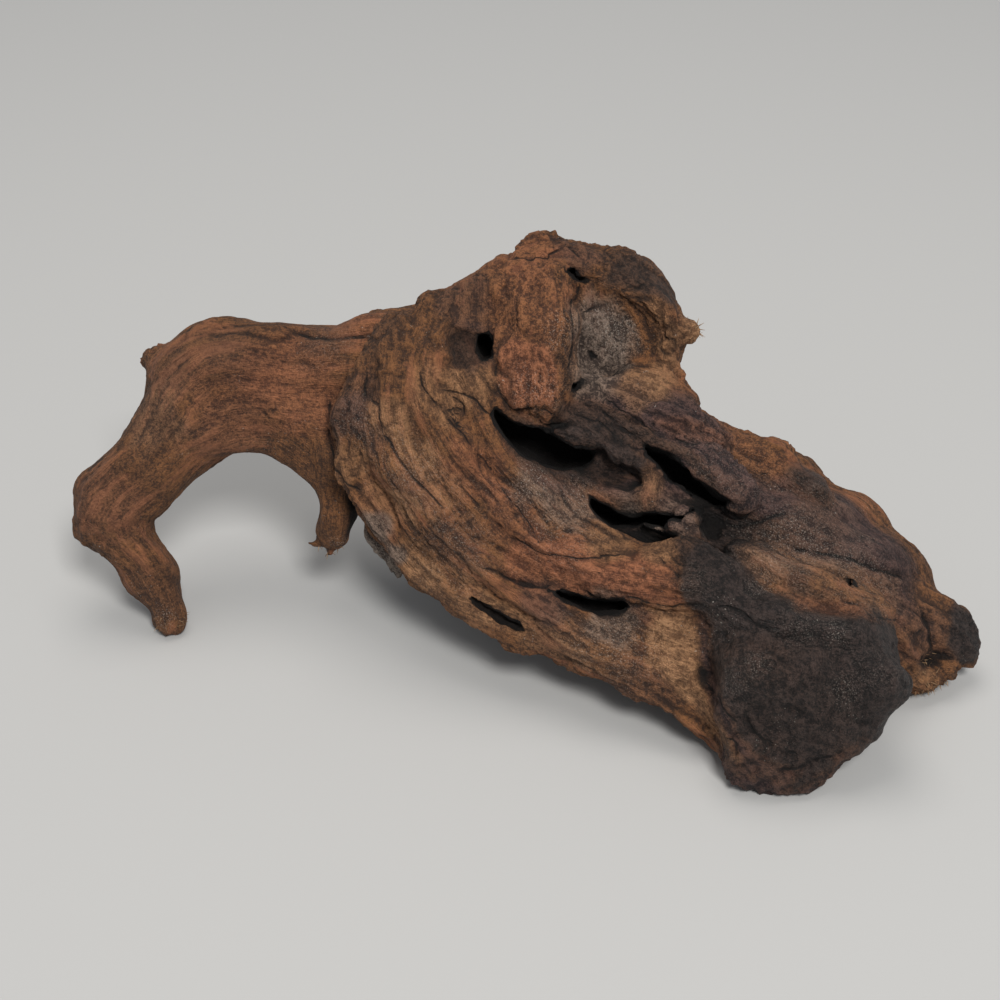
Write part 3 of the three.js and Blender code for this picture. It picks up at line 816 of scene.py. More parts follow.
@dataclass
class Shell:
    """A closed skin of quads: vertices in the sketch frame in millimetres, and their corners."""

    points: np.ndarray
    quads: np.ndarray

    @classmethod
    def from_field(cls, wood: WoodField, step: float) -> "Shell":
        """Wraps the inside of the field in quads and keeps the outer skin alone."""
        grid = openvdb.FloatGrid(3 * step)
        grid.copyFromArray(wood.sampled(step))
        points, _, quads = grid.convertToPolygons(isovalue=0.0, adaptivity=0.0)
        shell = cls(points * step + wood.LOW, quads.astype(np.int64))
        return shell.largest_skin()

    def largest_skin(self) -> "Shell":
        """The connected skin with the most vertices, so that loose scraps and sealed pockets go."""
        label = np.arange(len(self.points))
        first, second = self.quads.ravel(), np.roll(self.quads, -1, axis=1).ravel()
        while True:
            least = np.minimum(label[first], label[second])
            fresh = label.copy()
            np.minimum.at(fresh, first, least)
            np.minimum.at(fresh, second, least)
            fresh = fresh[fresh]
            if (fresh == label).all():
                break
            label = fresh
        main = np.bincount(label).argmax()
        kept = label == main
        renumber = np.cumsum(kept) - 1
        return Shell(self.points[kept], renumber[self.quads[kept[self.quads[:, 0]]]])

    def normals(self) -> np.ndarray:
        """Outward directions at the vertices."""
        a, b, c, d = (self.points[self.quads[:, k]] for k in range(4))
        facing = np.cross(c - a, d - b)
        total = np.zeros_like(self.points)
        for k in range(4):
            np.add.at(total, self.quads[:, k], facing)
        return total / np.maximum(np.linalg.norm(total, axis=1, keepdims=True), 1e-9)


@dataclass(frozen=True)
class Patch:
    """A patch of colour, centred on what shows at a pixel, with a radius in millimetres."""

    pixel: tuple
    radius: float
    tint: Tint
    strength: float = 0.8


def patches(tint: Tint, *spots: tuple) -> list[Patch]:
    """Patches of one tint, from the pixel's column and row, the radius and any strength of each."""
    return [Patch(spot[:2], spot[2], tint, *spot[3:]) for spot in spots]


@dataclass(frozen=True)
class Region:
    """An outlined part of the wood that shows in the photograph.

    Attributes:
        outline: Its corners, as pixels of the photograph.
        tint: What it has weathered to, or for some regions the painted shade that it stands for.
        strength: How much of that tint it takes.
        blur: How soft its edge is, in pixels.
        lift: How far it stands proud of the wood round it, in millimetres.
    """

    outline: tuple
    tint: Tint
    strength: float = 0.8
    blur: float = 6.0
    lift: float = 0.0


@dataclass(frozen=True)
class Crack:
    """A crack along pixels of the photograph, with its half width and depth in millimetres."""

    pixels: tuple
    width: float = 0.4
    depth: float = 0.8


@dataclass(frozen=True)
class Pit:
    """A small hole, at a pixel of the photograph, in millimetres."""

    pixel: tuple
    radius: float
    depth: float


@dataclass(frozen=True)
class Knot:
    """A small knot with growth rings, at a pixel of the photograph, in millimetres."""

    pixel: tuple
    radius: float = 5.0
    ring: float = 1.5
    height: float = 0.5


PATCHES = (
    *patches(Tint.RUST, (300, 385, 20, 0.45), (240, 400, 14, 0.3), (350, 325, 12, 0.4)),
    *patches(Tint.UMBER_AND_SHADE, (200, 360, 14, 0.2), (240, 430, 14, 0.25)),
    *patches(Tint.GREY, (150, 420, 12, 0.15)),
    *patches(Tint.RUST, (110, 500, 12, 0.25)),
    *patches(Tint.UMBER_AND_SHADE, (345, 420, 8, 0.55), (365, 395, 9, 0.35)),
    *patches(
        Tint.TAN,
        (350, 460, 8, 0.3), (390, 420, 8, 0.45), (415, 460, 8, 0.45), (440, 495, 8, 0.35),
        (440, 390, 10, 0.3), (470, 385, 8, 0.35),
    ),
    *patches(Tint.UMBER_AND_SHADE, (375, 440, 6, 0.35), (410, 490, 8, 0.35), (460, 545, 12, 0.3)),
    *patches(Tint.RUST, (380, 510, 9, 0.35)),
    *patches(Tint.TAN, (415, 560, 9, 0.4)),
    *patches(
        Tint.RUST,
        (475, 475, 11, 0.4), (510, 520, 12, 0.35), (530, 560, 10, 0.6), (570, 565, 11, 0.75),
        (620, 578, 11, 0.8), (660, 590, 8, 0.6),
    ),
    *patches(Tint.GREY, (540, 480, 9, 0.45), (760, 552, 11, 0.3), (820, 530, 18, 0.25)),
    *patches(Tint.UMBER_AND_SHADE, (110, 505, 16, 0.2)),
    *patches(Tint.CHAR_AND_SHADE, (100, 500, 12, 0.15)),
    *patches(Tint.UMBER_AND_SHADE, (155, 590, 12, 0.2)),
    *patches(Tint.GREY, (570, 505, 11, 0.4)),
    *patches(
        Tint.TAN,
        (610, 545, 9, 0.35), (660, 545, 7, 0.45), (470, 590, 12, 0.2), (385, 500, 9, 0.35),
        (415, 582, 10, 0.35), (505, 612, 8, 0.4), (535, 630, 8, 0.35), (568, 655, 8, 0.35),
    ),
    *patches(Tint.UMBER_AND_SHADE, (560, 640, 12, 0.3)),
    *patches(Tint.TAN, (600, 645, 13, 0.15)),
    *patches(Tint.UMBER_AND_SHADE, (640, 690, 14, 0.3)),
    *patches(Tint.GREY, (610, 620, 9, 0.5)),
    *patches(Tint.UMBER_AND_SHADE, (540, 600, 9, 0.5)),
    *patches(Tint.GREY, (375, 530, 7, 0.7), (395, 555, 5, 0.7)),
    *patches(Tint.RUST, (530, 255, 12, 0.3)),
    *patches(Tint.UMBER_AND_SHADE, (580, 250, 8, 0.5), (465, 300, 9, 0.4), (470, 350, 9, 0.6)),
    *patches(Tint.GREY, (598, 350, 13, 0.5)),
    *patches(Tint.TAN, (645, 388, 9, 0.5)),
    # Painted shade round the brow over the upper cavity.
    *patches(Tint.CHAR_AND_SHADE, (612, 436, 9, 0.5), (580, 430, 7, 0.4)),
    # The last three of these are painted shade below the upper cavity and by the slits.
    *patches(
        Tint.UMBER_AND_SHADE,
        (655, 410, 12, 0.45), (675, 400, 9, 0.4), (560, 470, 12, 0.75), (610, 480, 9, 0.5),
        (680, 495, 9, 0.6),
    ),
    *patches(Tint.TAN, (650, 480, 5, 0.25)),
    # The last of these is a painted shadow under the brow's knob.
    *patches(Tint.UMBER_AND_SHADE, (750, 500, 14, 0.4), (850, 520, 16, 0.3), (800, 490, 7, 0.6)),
    # Painted light: these lighten the plate where its overhang and seams shade it.
    *patches(Tint.TAN, (670, 616, 7, 0.5), (405, 505, 7, 0.4), (480, 610, 9, 0.25)),
    # The first five are painted shade along the arm's top, and the last is painted shade in the pocket by the
    # rubble.
    *patches(
        Tint.CHAR_AND_SHADE,
        (180, 332, 10, 0.5), (162, 365, 8, 0.3), (240, 345, 10, 0.15), (330, 336, 11, 0.3),
        (380, 326, 9, 0.25), (818, 484, 9, 0.6), (815, 520, 12, 0.3), (708, 520, 6, 0.7),
    ),
    *patches(Tint.UMBER_AND_SHADE, (735, 712, 9, 0.5), (770, 750, 9, 0.35)),
    *patches(Tint.CHAR_AND_SHADE, (800, 760, 9, 0.6)),
    *patches(Tint.GREY, (685, 525, 5, 0.25)),
    *patches(Tint.CHAR_AND_SHADE, (800, 690, 33, 0.75), (850, 760, 22, 0.9), (968, 635, 8, 0.9)),
    *patches(Tint.TAN, (925, 685, 8, 0.3)),
    *patches(Tint.UMBER_AND_SHADE, (930, 640, 10, 0.4), (915, 630, 9, 0.3)),
    *patches(Tint.GREY, (765, 660, 8, 0.3)),
)

REGIONS = (
    Region((
        (487, 300), (491, 320), (495, 345), (497, 362), (496, 378), (500, 394), (507, 404), (517, 409),
        (531, 408), (545, 408), (556, 415), (560, 398), (558, 378), (560, 350), (563, 325), (571, 300),
        (578, 288), (560, 278), (520, 268), (492, 282),
    ), Tint.RUST, 0.25, 9, 0.7),
    Region((
        (500, 352), (510, 342), (530, 340), (548, 346), (557, 362), (557, 392), (552, 406), (530, 406),
        (512, 404), (501, 392), (497, 372),
    ), Tint.RUST, 0.7, 3, 1.1),
    Region((
        (573, 302), (590, 292), (604, 296), (616, 306), (628, 322), (634, 342), (630, 366), (618, 386),
        (606, 400), (578, 398), (571, 380), (573, 350),
    ), Tint.GREY, 0.6, 9),
    Region(DISH, Tint.CHAR_AND_SHADE, 0.7, 4),
    Region((
        (604, 258), (632, 252), (652, 264), (676, 284), (677, 308), (650, 300), (625, 292), (606, 284),
    ), Tint.CHAR_AND_SHADE, 0.75, 8, 0.6),
    # Painted shade below the upper cavity.
    Region((
        (500, 430), (508, 440), (524, 456), (550, 466), (575, 467), (590, 457), (600, 438), (625, 440),
        (645, 460), (634, 478), (604, 486), (570, 484), (536, 472), (512, 454),
    ), Tint.CHAR_AND_SHADE, 0.9, 6),
    # Painted shade in the pocket beside the rubble.
    Region((
        (692, 500), (708, 502), (728, 508), (750, 516), (758, 532), (745, 546), (722, 549), (704, 545),
        (697, 530),
    ), Tint.CHAR_AND_SHADE, 0.95, 4),
    Region((
        (640, 300), (662, 304), (678, 325), (680, 350), (672, 385), (655, 398), (645, 385), (658, 360),
        (660, 335), (650, 318),
    ), Tint.TAN, 0.55, 7),
    Region((
        (554, 404), (576, 398), (605, 404), (632, 418), (660, 438), (690, 452), (716, 470), (744, 486),
        (746, 500), (728, 498), (706, 482), (690, 464), (664, 450), (642, 443), (618, 441), (592, 442),
        (572, 437), (556, 426),
    ), Tint.CHAR_AND_SHADE, 0.75, 5, 0.6),
    Region((
        (690, 446), (716, 448), (738, 464), (753, 484), (749, 502), (733, 499), (716, 484), (700, 466),
    ), Tint.UMBER_AND_SHADE, 0.75, 3, 1.0),
    Region((
        (655, 418), (700, 420), (742, 436), (782, 455), (800, 470), (780, 476), (745, 462), (712, 446),
        (676, 438),
    ), Tint.RUST, 0.2, 7),
    Region((
        (786, 472), (796, 463), (812, 470), (827, 485), (816, 492), (800, 484),
    ), Tint.CHAR_AND_SHADE, 0.6, 5, 0.6),
    Region((
        (755, 480), (790, 490), (850, 508), (895, 545), (905, 572), (880, 572), (820, 556), (760, 545),
        (735, 520),
    ), Tint.UMBER_AND_SHADE, 0.35, 12),
    Region((
        (700, 512), (735, 508), (780, 520), (800, 545), (770, 552), (735, 545), (705, 535),
    ), Tint.CHAR_AND_SHADE, 0.6, 9),
    Region((
        (735, 556), (790, 554), (850, 563), (898, 576), (902, 610), (884, 618), (850, 606), (800, 610),
        (778, 600), (752, 578),
    ), Tint.TAN, 0.14, 6),
    Region((
        (790, 596), (850, 600), (882, 622), (840, 616), (800, 614),
    ), Tint.RUST, 0.5, 6),
    Region((
        (690, 552), (704, 542), (735, 545), (742, 560), (758, 580), (774, 596), (784, 611), (806, 614),
        (800, 640), (760, 632), (720, 616), (684, 604), (680, 575),
    ), Tint.CHAR_AND_SHADE, 0.92, 2.5, 1.2),
    Region((
        (712, 622), (760, 618), (800, 614), (840, 618), (880, 628), (897, 640), (901, 668), (902, 700),
        (880, 724), (850, 746), (790, 792), (768, 778), (742, 745), (720, 705), (710, 660),
    ), Tint.CHAR_AND_SHADE, 0.84, 3, 0.5),
    Region((
        (698, 612), (712, 622), (712, 660), (722, 702), (742, 740), (764, 760), (800, 772), (790, 790),
        (764, 788), (740, 764), (722, 728), (704, 690), (698, 650),
    ), Tint.UMBER_AND_SHADE, 0.65, 4, -0.3),
    Region((
        (656, 618), (686, 616), (697, 630), (699, 668), (706, 700), (722, 730), (738, 762), (722, 742),
        (694, 706), (668, 684), (648, 664), (646, 636),
    ), Tint.TAN, 0.75, 6),
    Region((
        (952, 598), (972, 614), (986, 640), (976, 664), (962, 662), (946, 652), (950, 625),
    ), Tint.CHAR_AND_SHADE, 0.9, 4),
)

# Where pale dust has settled: pixels of the photograph, and radii in millimetres.
DUSTINGS = (
    *patches(
        Tint.DUST,
        (845, 694, 5, 0.3), (757, 664, 4, 0.5), (800, 628, 8, 0.25), (838, 634, 5, 0.6),
        (880, 665, 8, 0.2), (730, 680, 7, 0.2), (690, 580, 6, 0.2), (762, 592, 6, 0.5),
        (790, 535, 16, 0.4), (860, 580, 16, 0.35), (535, 484, 8, 0.6), (580, 502, 9, 0.5),
        (560, 530, 14, 0.3), (612, 335, 9, 0.6), (563, 330, 6, 0.5), (535, 392, 9, 0.35),
        (355, 430, 9, 0.4), (330, 340, 10, 0.25), (400, 470, 14, 0.3), (455, 545, 18, 0.3),
        (615, 645, 16, 0.35), (162, 622, 6, 0.5), (340, 545, 4, 0.5), (385, 550, 9, 0.45),
        (730, 470, 16, 0.2),
    ),
)

CRACKS = (
    Crack(((300, 333), (330, 337), (360, 337), (385, 332), (400, 325)), 0.7, 1.2),
    Crack(((330, 405), (329, 430), (332, 455), (334, 470), (345, 482), (358, 490)), 0.5, 1.0),
    Crack(((367, 378), (364, 395), (378, 405), (380, 425), (392, 450), (412, 475), (440, 505)), 0.45, 0.8),
    Crack(((420, 380), (432, 400), (445, 412), (460, 430), (468, 440)), 0.35, 0.6),
    Crack(((449, 391), (462, 395), (476, 402), (485, 412), (492, 416)), 0.4, 0.7),
    Crack(((440, 405), (448, 418), (455, 425), (463, 418), (464, 406), (456, 400)), 0.4, 0.6),
    Crack(((450, 410), (458, 408)), 0.4, 0.5),
    Crack(((452, 415), (460, 413)), 0.4, 0.5),
    Crack(((480, 455), (505, 490), (525, 515), (540, 540)), 0.3, 0.5),
    Crack(((515, 540), (545, 555), (590, 558), (620, 555)), 0.35, 0.6),
    Crack(((490, 570), (510, 578), (530, 582)), 0.5, 0.9),
    Crack(((500, 575), (525, 584), (545, 586)), 0.6, 1.0),
    Crack(((626, 598), (650, 602), (672, 607), (690, 604), (706, 607)), 0.45, 0.8),
    Crack(((663, 562), (672, 568), (677, 575)), 0.5, 0.7),
    Crack(
        ((496, 362), (496, 378), (500, 394), (507, 404), (517, 410), (531, 409), (545, 409), (553, 414)),
        0.5, 1.0,
    ),
    Crack(((511, 257), (528, 259), (547, 258)), 0.4, 0.8),
    Crack(((549, 254), (560, 248)), 0.35, 0.6),
    Crack(((570, 247), (578, 254)), 0.35, 0.6),
    Crack(((578, 290), (572, 308), (572, 330), (574, 350), (570, 375)), 0.5, 1.0),
    Crack(((588, 312), (598, 308), (604, 305)), 0.5, 0.8),
    Crack(((625, 290), (635, 288), (642, 284)), 0.35, 0.5),
    Crack(((588, 404), (604, 412), (622, 428), (640, 440), (648, 446)), 0.6, 1.1),
    Crack(((580, 416), (600, 422), (620, 438)), 0.4, 0.7),
    Crack(((610, 400), (632, 418), (660, 436)), 0.35, 0.6),
    Crack(((676, 440), (690, 446), (705, 448)), 0.4, 0.7),
    Crack(((748, 473), (762, 473)), 0.45, 0.8),
    Crack(((800, 549), (830, 553), (855, 562), (880, 570), (900, 575)), 0.55, 1.1),
    Crack(((700, 528), (712, 520), (735, 526), (760, 522), (785, 512)), 0.5, 0.8),
    Crack(((845, 600), (862, 607), (872, 616), (898, 620)), 0.4, 0.7),
    Crack(((720, 606), (740, 614), (762, 626), (782, 637), (795, 637)), 0.4, 0.8),
    Crack(((795, 640), (806, 645), (830, 648), (850, 650)), 0.3, 0.5),
    Crack(((745, 718), (755, 732), (765, 740), (780, 746), (795, 755)), 0.4, 0.7),
    Crack(((700, 672), (712, 690), (722, 708), (735, 722)), 0.45, 0.8),
    Crack(((722, 735), (734, 742), (735, 756)), 0.45, 0.8),
    Crack(((784, 771), (800, 767), (820, 760), (838, 752)), 0.45, 0.9),
    Crack(((785, 707), (795, 710), (802, 714)), 0.5, 0.8),
    Crack(((836, 625), (846, 627)), 0.5, 0.8),
    Crack(((926, 617), (931, 635), (934, 650), (942, 656)), 0.6, 1.2),
    Crack(((928, 662), (938, 658), (950, 658)), 1.2, 1.8),
    Crack(((910, 678), (920, 674)), 0.8, 1.2),
    Crack(((905, 688), (930, 682), (948, 672)), 0.4, 0.6),
)

PITS = (
    Pit((780, 660), 1.3, 0.9),
    Pit((765, 665), 1.1, 0.8),
    Pit((835, 690), 1.4, 0.8),
    Pit((925, 660), 1.8, 1.8),
    Pit((938, 660), 2.6, 2.6),
    Pit((928, 668), 1.6, 1.6),
    Pit((912, 668), 1.2, 1.0),
)

KNOTS = (Knot((668, 345), 8, 3.2, 0.2), Knot((770, 665), 7, 2.4, 0.15))


class Weathering:
    """Relief, colour masks and grain coordinates for a shell, worked out strand by strand."""

    CRACK_STEP = 3.0
    CRACK_JUMP = 12
    REACH = 6.0
    SEAM = 1.3

    def __init__(self, wood: WoodField, shell: Shell) -> None:
        """Measures every strand once at the vertices of the shell.

        Args:
            wood: The field that the shell wraps.
            shell: The skin to weather.
        """
        self.wood = wood
        self.shell = shell
        self.moved = wander(shell.points)
        self.facing = shell.normals()
        self.count = len(shell.points)
        self.relief = np.zeros(self.count)
        self.crack = np.full(self.count, 6.0)
        self.cracked = np.zeros(self.count)
        # How far grooves, splits, seams, pits and the low parts of knot rings are darkened, as painted shade.
        self.groove = np.zeros(self.count)
        self.masks = {tint: np.zeros(self.count) for tint in Tint}
        self.strands = [HEAD, *STRANDS.values(), *BRIDGING.values(), *FINE_STRANDS.values()]
        self.tree = BVHTree.FromPolygons(shell.points.tolist(), shell.quads.tolist())
        self.read_strands()

    def read_strands(self) -> None:
        """Fills tables of distance and grain coordinates, one row for each strand."""
        shape = (len(self.strands), self.count)
        self.gaps = np.full(shape, FAR, dtype=np.float32)
        self.grain = np.zeros(shape + (3,), dtype=np.float32)
        for row, strand in enumerate(self.strands):
            chosen = strand.near(self.moved, self.REACH)
            self.gaps[row, chosen] = strand.gap(self.moved[chosen])
            reading = strand.read(self.shell.points[chosen])
            shift = 37.0 * row
            place = np.stack([reading.run + shift, reading.across + shift, reading.over - shift], axis=1)
            self.grain[row, chosen] = place
        self.nearest = self.gaps.min(axis=0)
        self.shares = np.exp(-np.maximum(self.gaps - self.nearest, 0) / self.SEAM)
        self.shares[self.gaps > FAR / 2] = 0
        self.shares /= self.shares.sum(axis=0)
        self.rivals = np.sort(self.gaps, axis=0)[1] - self.nearest

    def blended(self, length: float, width: float, seed: int) -> np.ndarray:
        """Noise drawn out along the grain of each strand, and blended where strands meet.

        Args:
            length: Size of the pattern along the grain.
            width: Its size across the grain.
            seed: Picks the pattern.

        Returns:
            A value from -1 to 1 at each vertex.
        """
        total = np.zeros(self.count)
        scale = np.array([1 / length, 1 / width, 1 / width])
        for row in range(len(self.strands)):
            chosen = np.nonzero(self.shares[row] > 0.02)[0]
            noise = lattice_noise(self.grain[row, chosen] * scale, seed + row)
            total[chosen] += self.shares[row, chosen] * noise
        return total

    def lumps(self, size: float, seed: int) -> np.ndarray:
        """Noise of one size in all directions."""
        return lattice_noise(self.shell.points / size, seed)

    def paint(self, tint: Tint, amount: np.ndarray) -> None:
        """Lays a tint over those already there, by an amount from 0 to 1 at each vertex."""
        for other, mask in self.masks.items():
            if other is not Tint.DUST:
                mask *= 1 - amount
        self.masks[tint] += amount

    def paint_strands(self) -> None:
        """Gives each vertex the tints of the strands that it lies on."""
        for row, strand in enumerate(self.strands):
            self.masks[strand.tint] += self.shares[row]

    def spread(self, values: np.ndarray, rounds: int) -> np.ndarray:
        """Averages values with those of the neighbours along each edge.

        Args:
            values: One number for each vertex.
            rounds: How many times over.

        Returns:
            The averaged values.
        """
        first = self.shell.quads.ravel()
        second = np.roll(self.shell.quads, -1, axis=1).ravel()
        links = np.bincount(first, minlength=self.count) + np.bincount(second, minlength=self.count)
        for _ in range(rounds):
            total = np.bincount(first, weights=values[second], minlength=self.count)
            total += np.bincount(second, weights=values[first], minlength=self.count)
            values = 0.3 * values + 0.7 * total / np.maximum(links, 1)
        return values

    def paint_regions(self, sight: Sight) -> None:
        """Tints and lifts the outlined regions, where the photograph shows them; some of them are painted
        shade.

        Args:
            sight: The camera that their pixels were picked from.
        """
        seen = self.spread(sight.sees(self.shell.points, self.tree).astype(float), 10)
        seen = smooth_step(0.15, 0.75, seen)
        spots, _ = sight.pixels(self.shell.points)
        coarse = np.stack([self.lumps(4, 303), self.lumps(4, 304)], axis=1)
        fine = np.stack([self.lumps(1.9, 305), self.lumps(1.9, 306)], axis=1)
        for region in REGIONS:
            strayed = spots + (1 + 0.45 * region.blur) * coarse + (0.8 + 0.1 * region.blur) * fine
            away = outline_gap(strayed, region.outline)
            self.paint(region.tint, seen * region.strength * smooth_step(region.blur, -region.blur, away))
            if region.lift:
                self.relief += seen * region.lift * smooth_step(2.5, -2.5, away)

    def paint_patches(self, sight: Sight) -> None:
        """Lays on the patches of colour that the photograph shows, with ragged edges; some are painted shade
        or painted light.

        Args:
            sight: The camera that their pixels were picked from.
        """
        ragged = 0.35 * self.blended(26, 3, 301) + 0.25 * self.lumps(6, 302)
        for patch in (*PATCHES, *DUSTINGS):
            centre = sight.land(patch.pixel, self.tree)
            if centre is None:
                log.warning("patch at pixel %s shows no wood", patch.pixel)
                continue
            away = np.linalg.norm(self.shell.points - centre, axis=1) / patch.radius
            if patch.tint is Tint.DUST:
                amount = patch.strength * smooth_step(1.5, 0.1, away + ragged)
                self.masks[Tint.DUST] = np.maximum(self.masks[Tint.DUST], amount)
            else:
                self.paint(patch.tint, patch.strength * smooth_step(1.15, 0.65, away + ragged))

    def roughen(self) -> None:
        """Raises ridges and flakes along the grain, sinks splits, and opens the seams between strands."""
        ragged = sum(self.shares[row] * strand.ragged for row, strand in enumerate(self.strands))
        self.crust = sum(self.shares[row] * strand.crust for row, strand in enumerate(self.strands))
        crests = 0.45 - np.abs(self.blended(30, 5.0, 11)) + 0.5 * (0.4 - np.abs(self.blended(16, 2.6, 12)))
        fine = 0.3 * self.blended(11, 1.7, 15)
        layers = 2.2 * self.blended(40, 5.5, 13) + 0.35 * self.lumps(3.0, 14)
        part = layers - np.floor(layers)
        flakes = part * smooth_step(1.0, 0.86, part)
        lumps = 0.5 * self.lumps(11, 21) + 0.35 * self.lumps(5, 22)
        crust = 0.28 * self.lumps(2.4, 23) + 0.3 * np.abs(self.lumps(3.6, 24))
        line = np.abs(self.blended(34, 4.2, 31))
        patchy = smooth_step(0.0, 0.6, self.lumps(19, 32))
        split = smooth_step(0.09, 0.02, line) * patchy
        seam = smooth_step(1.4, 0.2, self.rivals) * smooth_step(0.8, -0.2, self.nearest)
        rough = smooth_step(0.55, 1.1, ragged)
        grain = 1.1 * crests + fine + 0.55 * lumps + crust
        self.relief += ragged * grain + 0.9 * rough * ragged * (flakes - 0.4)
        self.relief -= 0.5 * split * ragged + 0.3 * seam
        edge = smooth_step(0.84, 0.95, part) * rough
        self.groove = np.maximum(self.groove, np.maximum(0.35 * edge, np.maximum(0.6 * split, 0.35 * seam)))
        self.relief -= self.relief.mean()
        char_and_shade = self.masks[Tint.CHAR_AND_SHADE]
        self.relief *= 1 - 0.45 * char_and_shade
        self.relief += char_and_shade * (0.15 * self.lumps(8, 41) + 0.3 * np.abs(self.lumps(2.6, 42)))

    def open_cracks(self, sight: Sight) -> None:
        """Sinks the cracks that the photograph shows.

        Each vertex near one notes how far off it is, in half widths, with a sign for the side that it is
        on, so that the middle of the crack stays sharp between vertices.

        Args:
            sight: The camera that their pixels were picked from.
        """
        wobble = np.stack([self.lumps(4, 50 + k) for k in range(3)], axis=1)
        shaken = self.shell.points + 0.7 * wobble
        for crack in CRACKS:
            line = self.landed_line(crack, sight)
            if len(line) < 2:
                log.warning("crack from pixel %s shows no wood", crack.pixels[0])
                continue
            low, high = line.min(axis=0) - 5, line.max(axis=0) + 5
            chosen = np.nonzero(((shaken > low) & (shaken < high)).all(axis=1))[0]
            away = np.full(len(chosen), FAR)
            side = np.ones(len(chosen))
            for start, end in zip(line, line[1:]):
                span = end - start
                offset = shaken[chosen] - start
                t = np.clip(offset @ span / max(span @ span, 1e-9), 0, 1)
                here = np.linalg.norm(offset - t[:, None] * span, axis=1)
                closer = here < away
                away[closer] = here[closer]
                hand = np.einsum("ij,ij->i", offset, np.cross(span, self.facing[chosen]))
                side[closer] = np.sign(hand[closer])
            self.relief[chosen] -= crack.depth * np.exp(-(away / (1.6 * crack.width + 0.4)) ** 2)
            nearer = away / crack.width < np.abs(self.crack[chosen])
            self.crack[chosen[nearer]] = (side * away / crack.width)[nearer]
            self.cracked[chosen] = np.maximum(self.cracked[chosen], smooth_step(2.4, 1.0, away))

    def landed_line(self, crack: Crack, sight: Sight) -> np.ndarray:
        """Lays a crack's line on the wood, in short steps that follow the surface.

        Args:
            crack: The crack.
            sight: The camera that its pixels were picked from.

        Returns:
            Rows of x, y, z, without the steps that land on no wood or jump to wood farther off.
        """
        landed = []
        for start, end in zip(crack.pixels, crack.pixels[1:]):
            start, end = np.array(start, dtype=float), np.array(end, dtype=float)
            steps = max(int(np.linalg.norm(end - start) / self.CRACK_STEP), 1)
            for k in range(steps + 1):
                spot = sight.land(tuple(start + (end - start) * k / steps), self.tree)
                if spot is not None and (not landed or np.linalg.norm(spot - landed[-1]) < self.CRACK_JUMP):
                    landed.append(spot)
        return np.array(landed)

    def sink_pits(self, sight: Sight) -> None:
        """Sinks the small holes.

        Args:
            sight: The camera that their pixels were picked from.
        """
        for pit in PITS:
            centre = sight.land(pit.pixel, self.tree)
            if centre is None:
                log.warning("pit at pixel %s shows no wood", pit.pixel)
                continue
            away = np.linalg.norm(self.shell.points - centre, axis=1) / pit.radius
            self.relief -= pit.depth * np.exp(-away ** 2)
            self.groove = np.maximum(self.groove, min(0.5 * pit.depth, 0.9) * smooth_step(1.2, 0.5, away))

    def ring_knots(self, sight: Sight) -> None:
        """Raises growth rings round the small knots.

        Args:
            sight: The camera that their pixels were picked from.
        """
        for knot in KNOTS:
            centre = sight.land(knot.pixel, self.tree)
            away = np.linalg.norm(self.shell.points - centre, axis=1)
            fade = smooth_step(knot.radius, 0.5 * knot.radius, away)
            rings = np.sin(2 * math.pi * away / knot.ring + 0.8 * self.lumps(4, 61))
            self.relief += knot.height * fade * rings
            self.groove = np.maximum(self.groove, 0.8 * fade * smooth_step(-0.2, -0.9, rings))

    def shade(self) -> np.ndarray:
        """How deep in a hollow each vertex lies, from 0 in the open to 1 in a deep gap, for the finish's
        painted shade.
        """
        total = np.zeros(self.count)
        for reach, share in ((2.5, 0.2), (6.0, 0.3), (12.0, 0.3), (20.0, 0.2)):
            room = self.wood.gap(self.shell.points + self.facing * reach)
            total += share * np.clip(1 - room / reach, 0, 1.5)
        return np.clip(total, 0, 1)

    def blacken_carvings(self) -> None:
        """Adds to the hollow shade on the walls and floors of the carved hollows."""
        for carving in CARVINGS.values():
            chosen = carving.near(self.shell.points, 2.0)
            inside = smooth_step(0.9, 0.2, carving.gap(self.shell.points[chosen]))
            deep = smooth_step(0.08, 0.4, self.hollow[chosen])
            self.hollow[chosen] = np.maximum(self.hollow[chosen], carving.shade * inside * deep)

    def finish(self, sight: Sight) -> "Shell":
        """Weathers the shell.

        Args:
            sight: The camera that the patches and cracks were picked from.

        Returns:
            The shell with its relief, standing on the ground.
        """
        self.paint_strands()
        self.paint_patches(sight)
        self.paint_regions(sight)
        self.hollow = self.shade()
        self.blacken_carvings()
        self.roughen()
        self.open_cracks(sight)
        self.sink_pits(sight)
        self.ring_knots(sight)
        # How far the relief stands above or below its neighbours; the finish paints light and shade by it.
        self.height = np.clip((self.relief - self.spread(self.relief, 8)) / 0.35, -1, 1)
        points = self.shell.points + self.facing * self.relief[:, None]
        points[:, 2] = np.maximum(points[:, 2], 0.0)
        return Shell(points, self.shell.quads)

    def corner_grain(self) -> np.ndarray:
        """Grain coordinates at the corners of each quad, all read from the strand that the quad lies on."""
        closest = sum(self.gaps[:, self.shell.quads[:, k]] for k in range(4)).argmin(axis=0)
        return self.grain[closest[:, None], self.shell.quads]


def linear(code: str) -> tuple:
    """A colour code such as #6b4a35 as linear red, green, blue and alpha."""
    parts = [int(code[k:k + 2], 16) / 255 for k in (1, 3, 5)]
    lit = [part / 12.92 if part <= 0.04045 else ((part + 0.055) / 1.055) ** 2.4 for part in parts]
    return (*lit, 1.0)


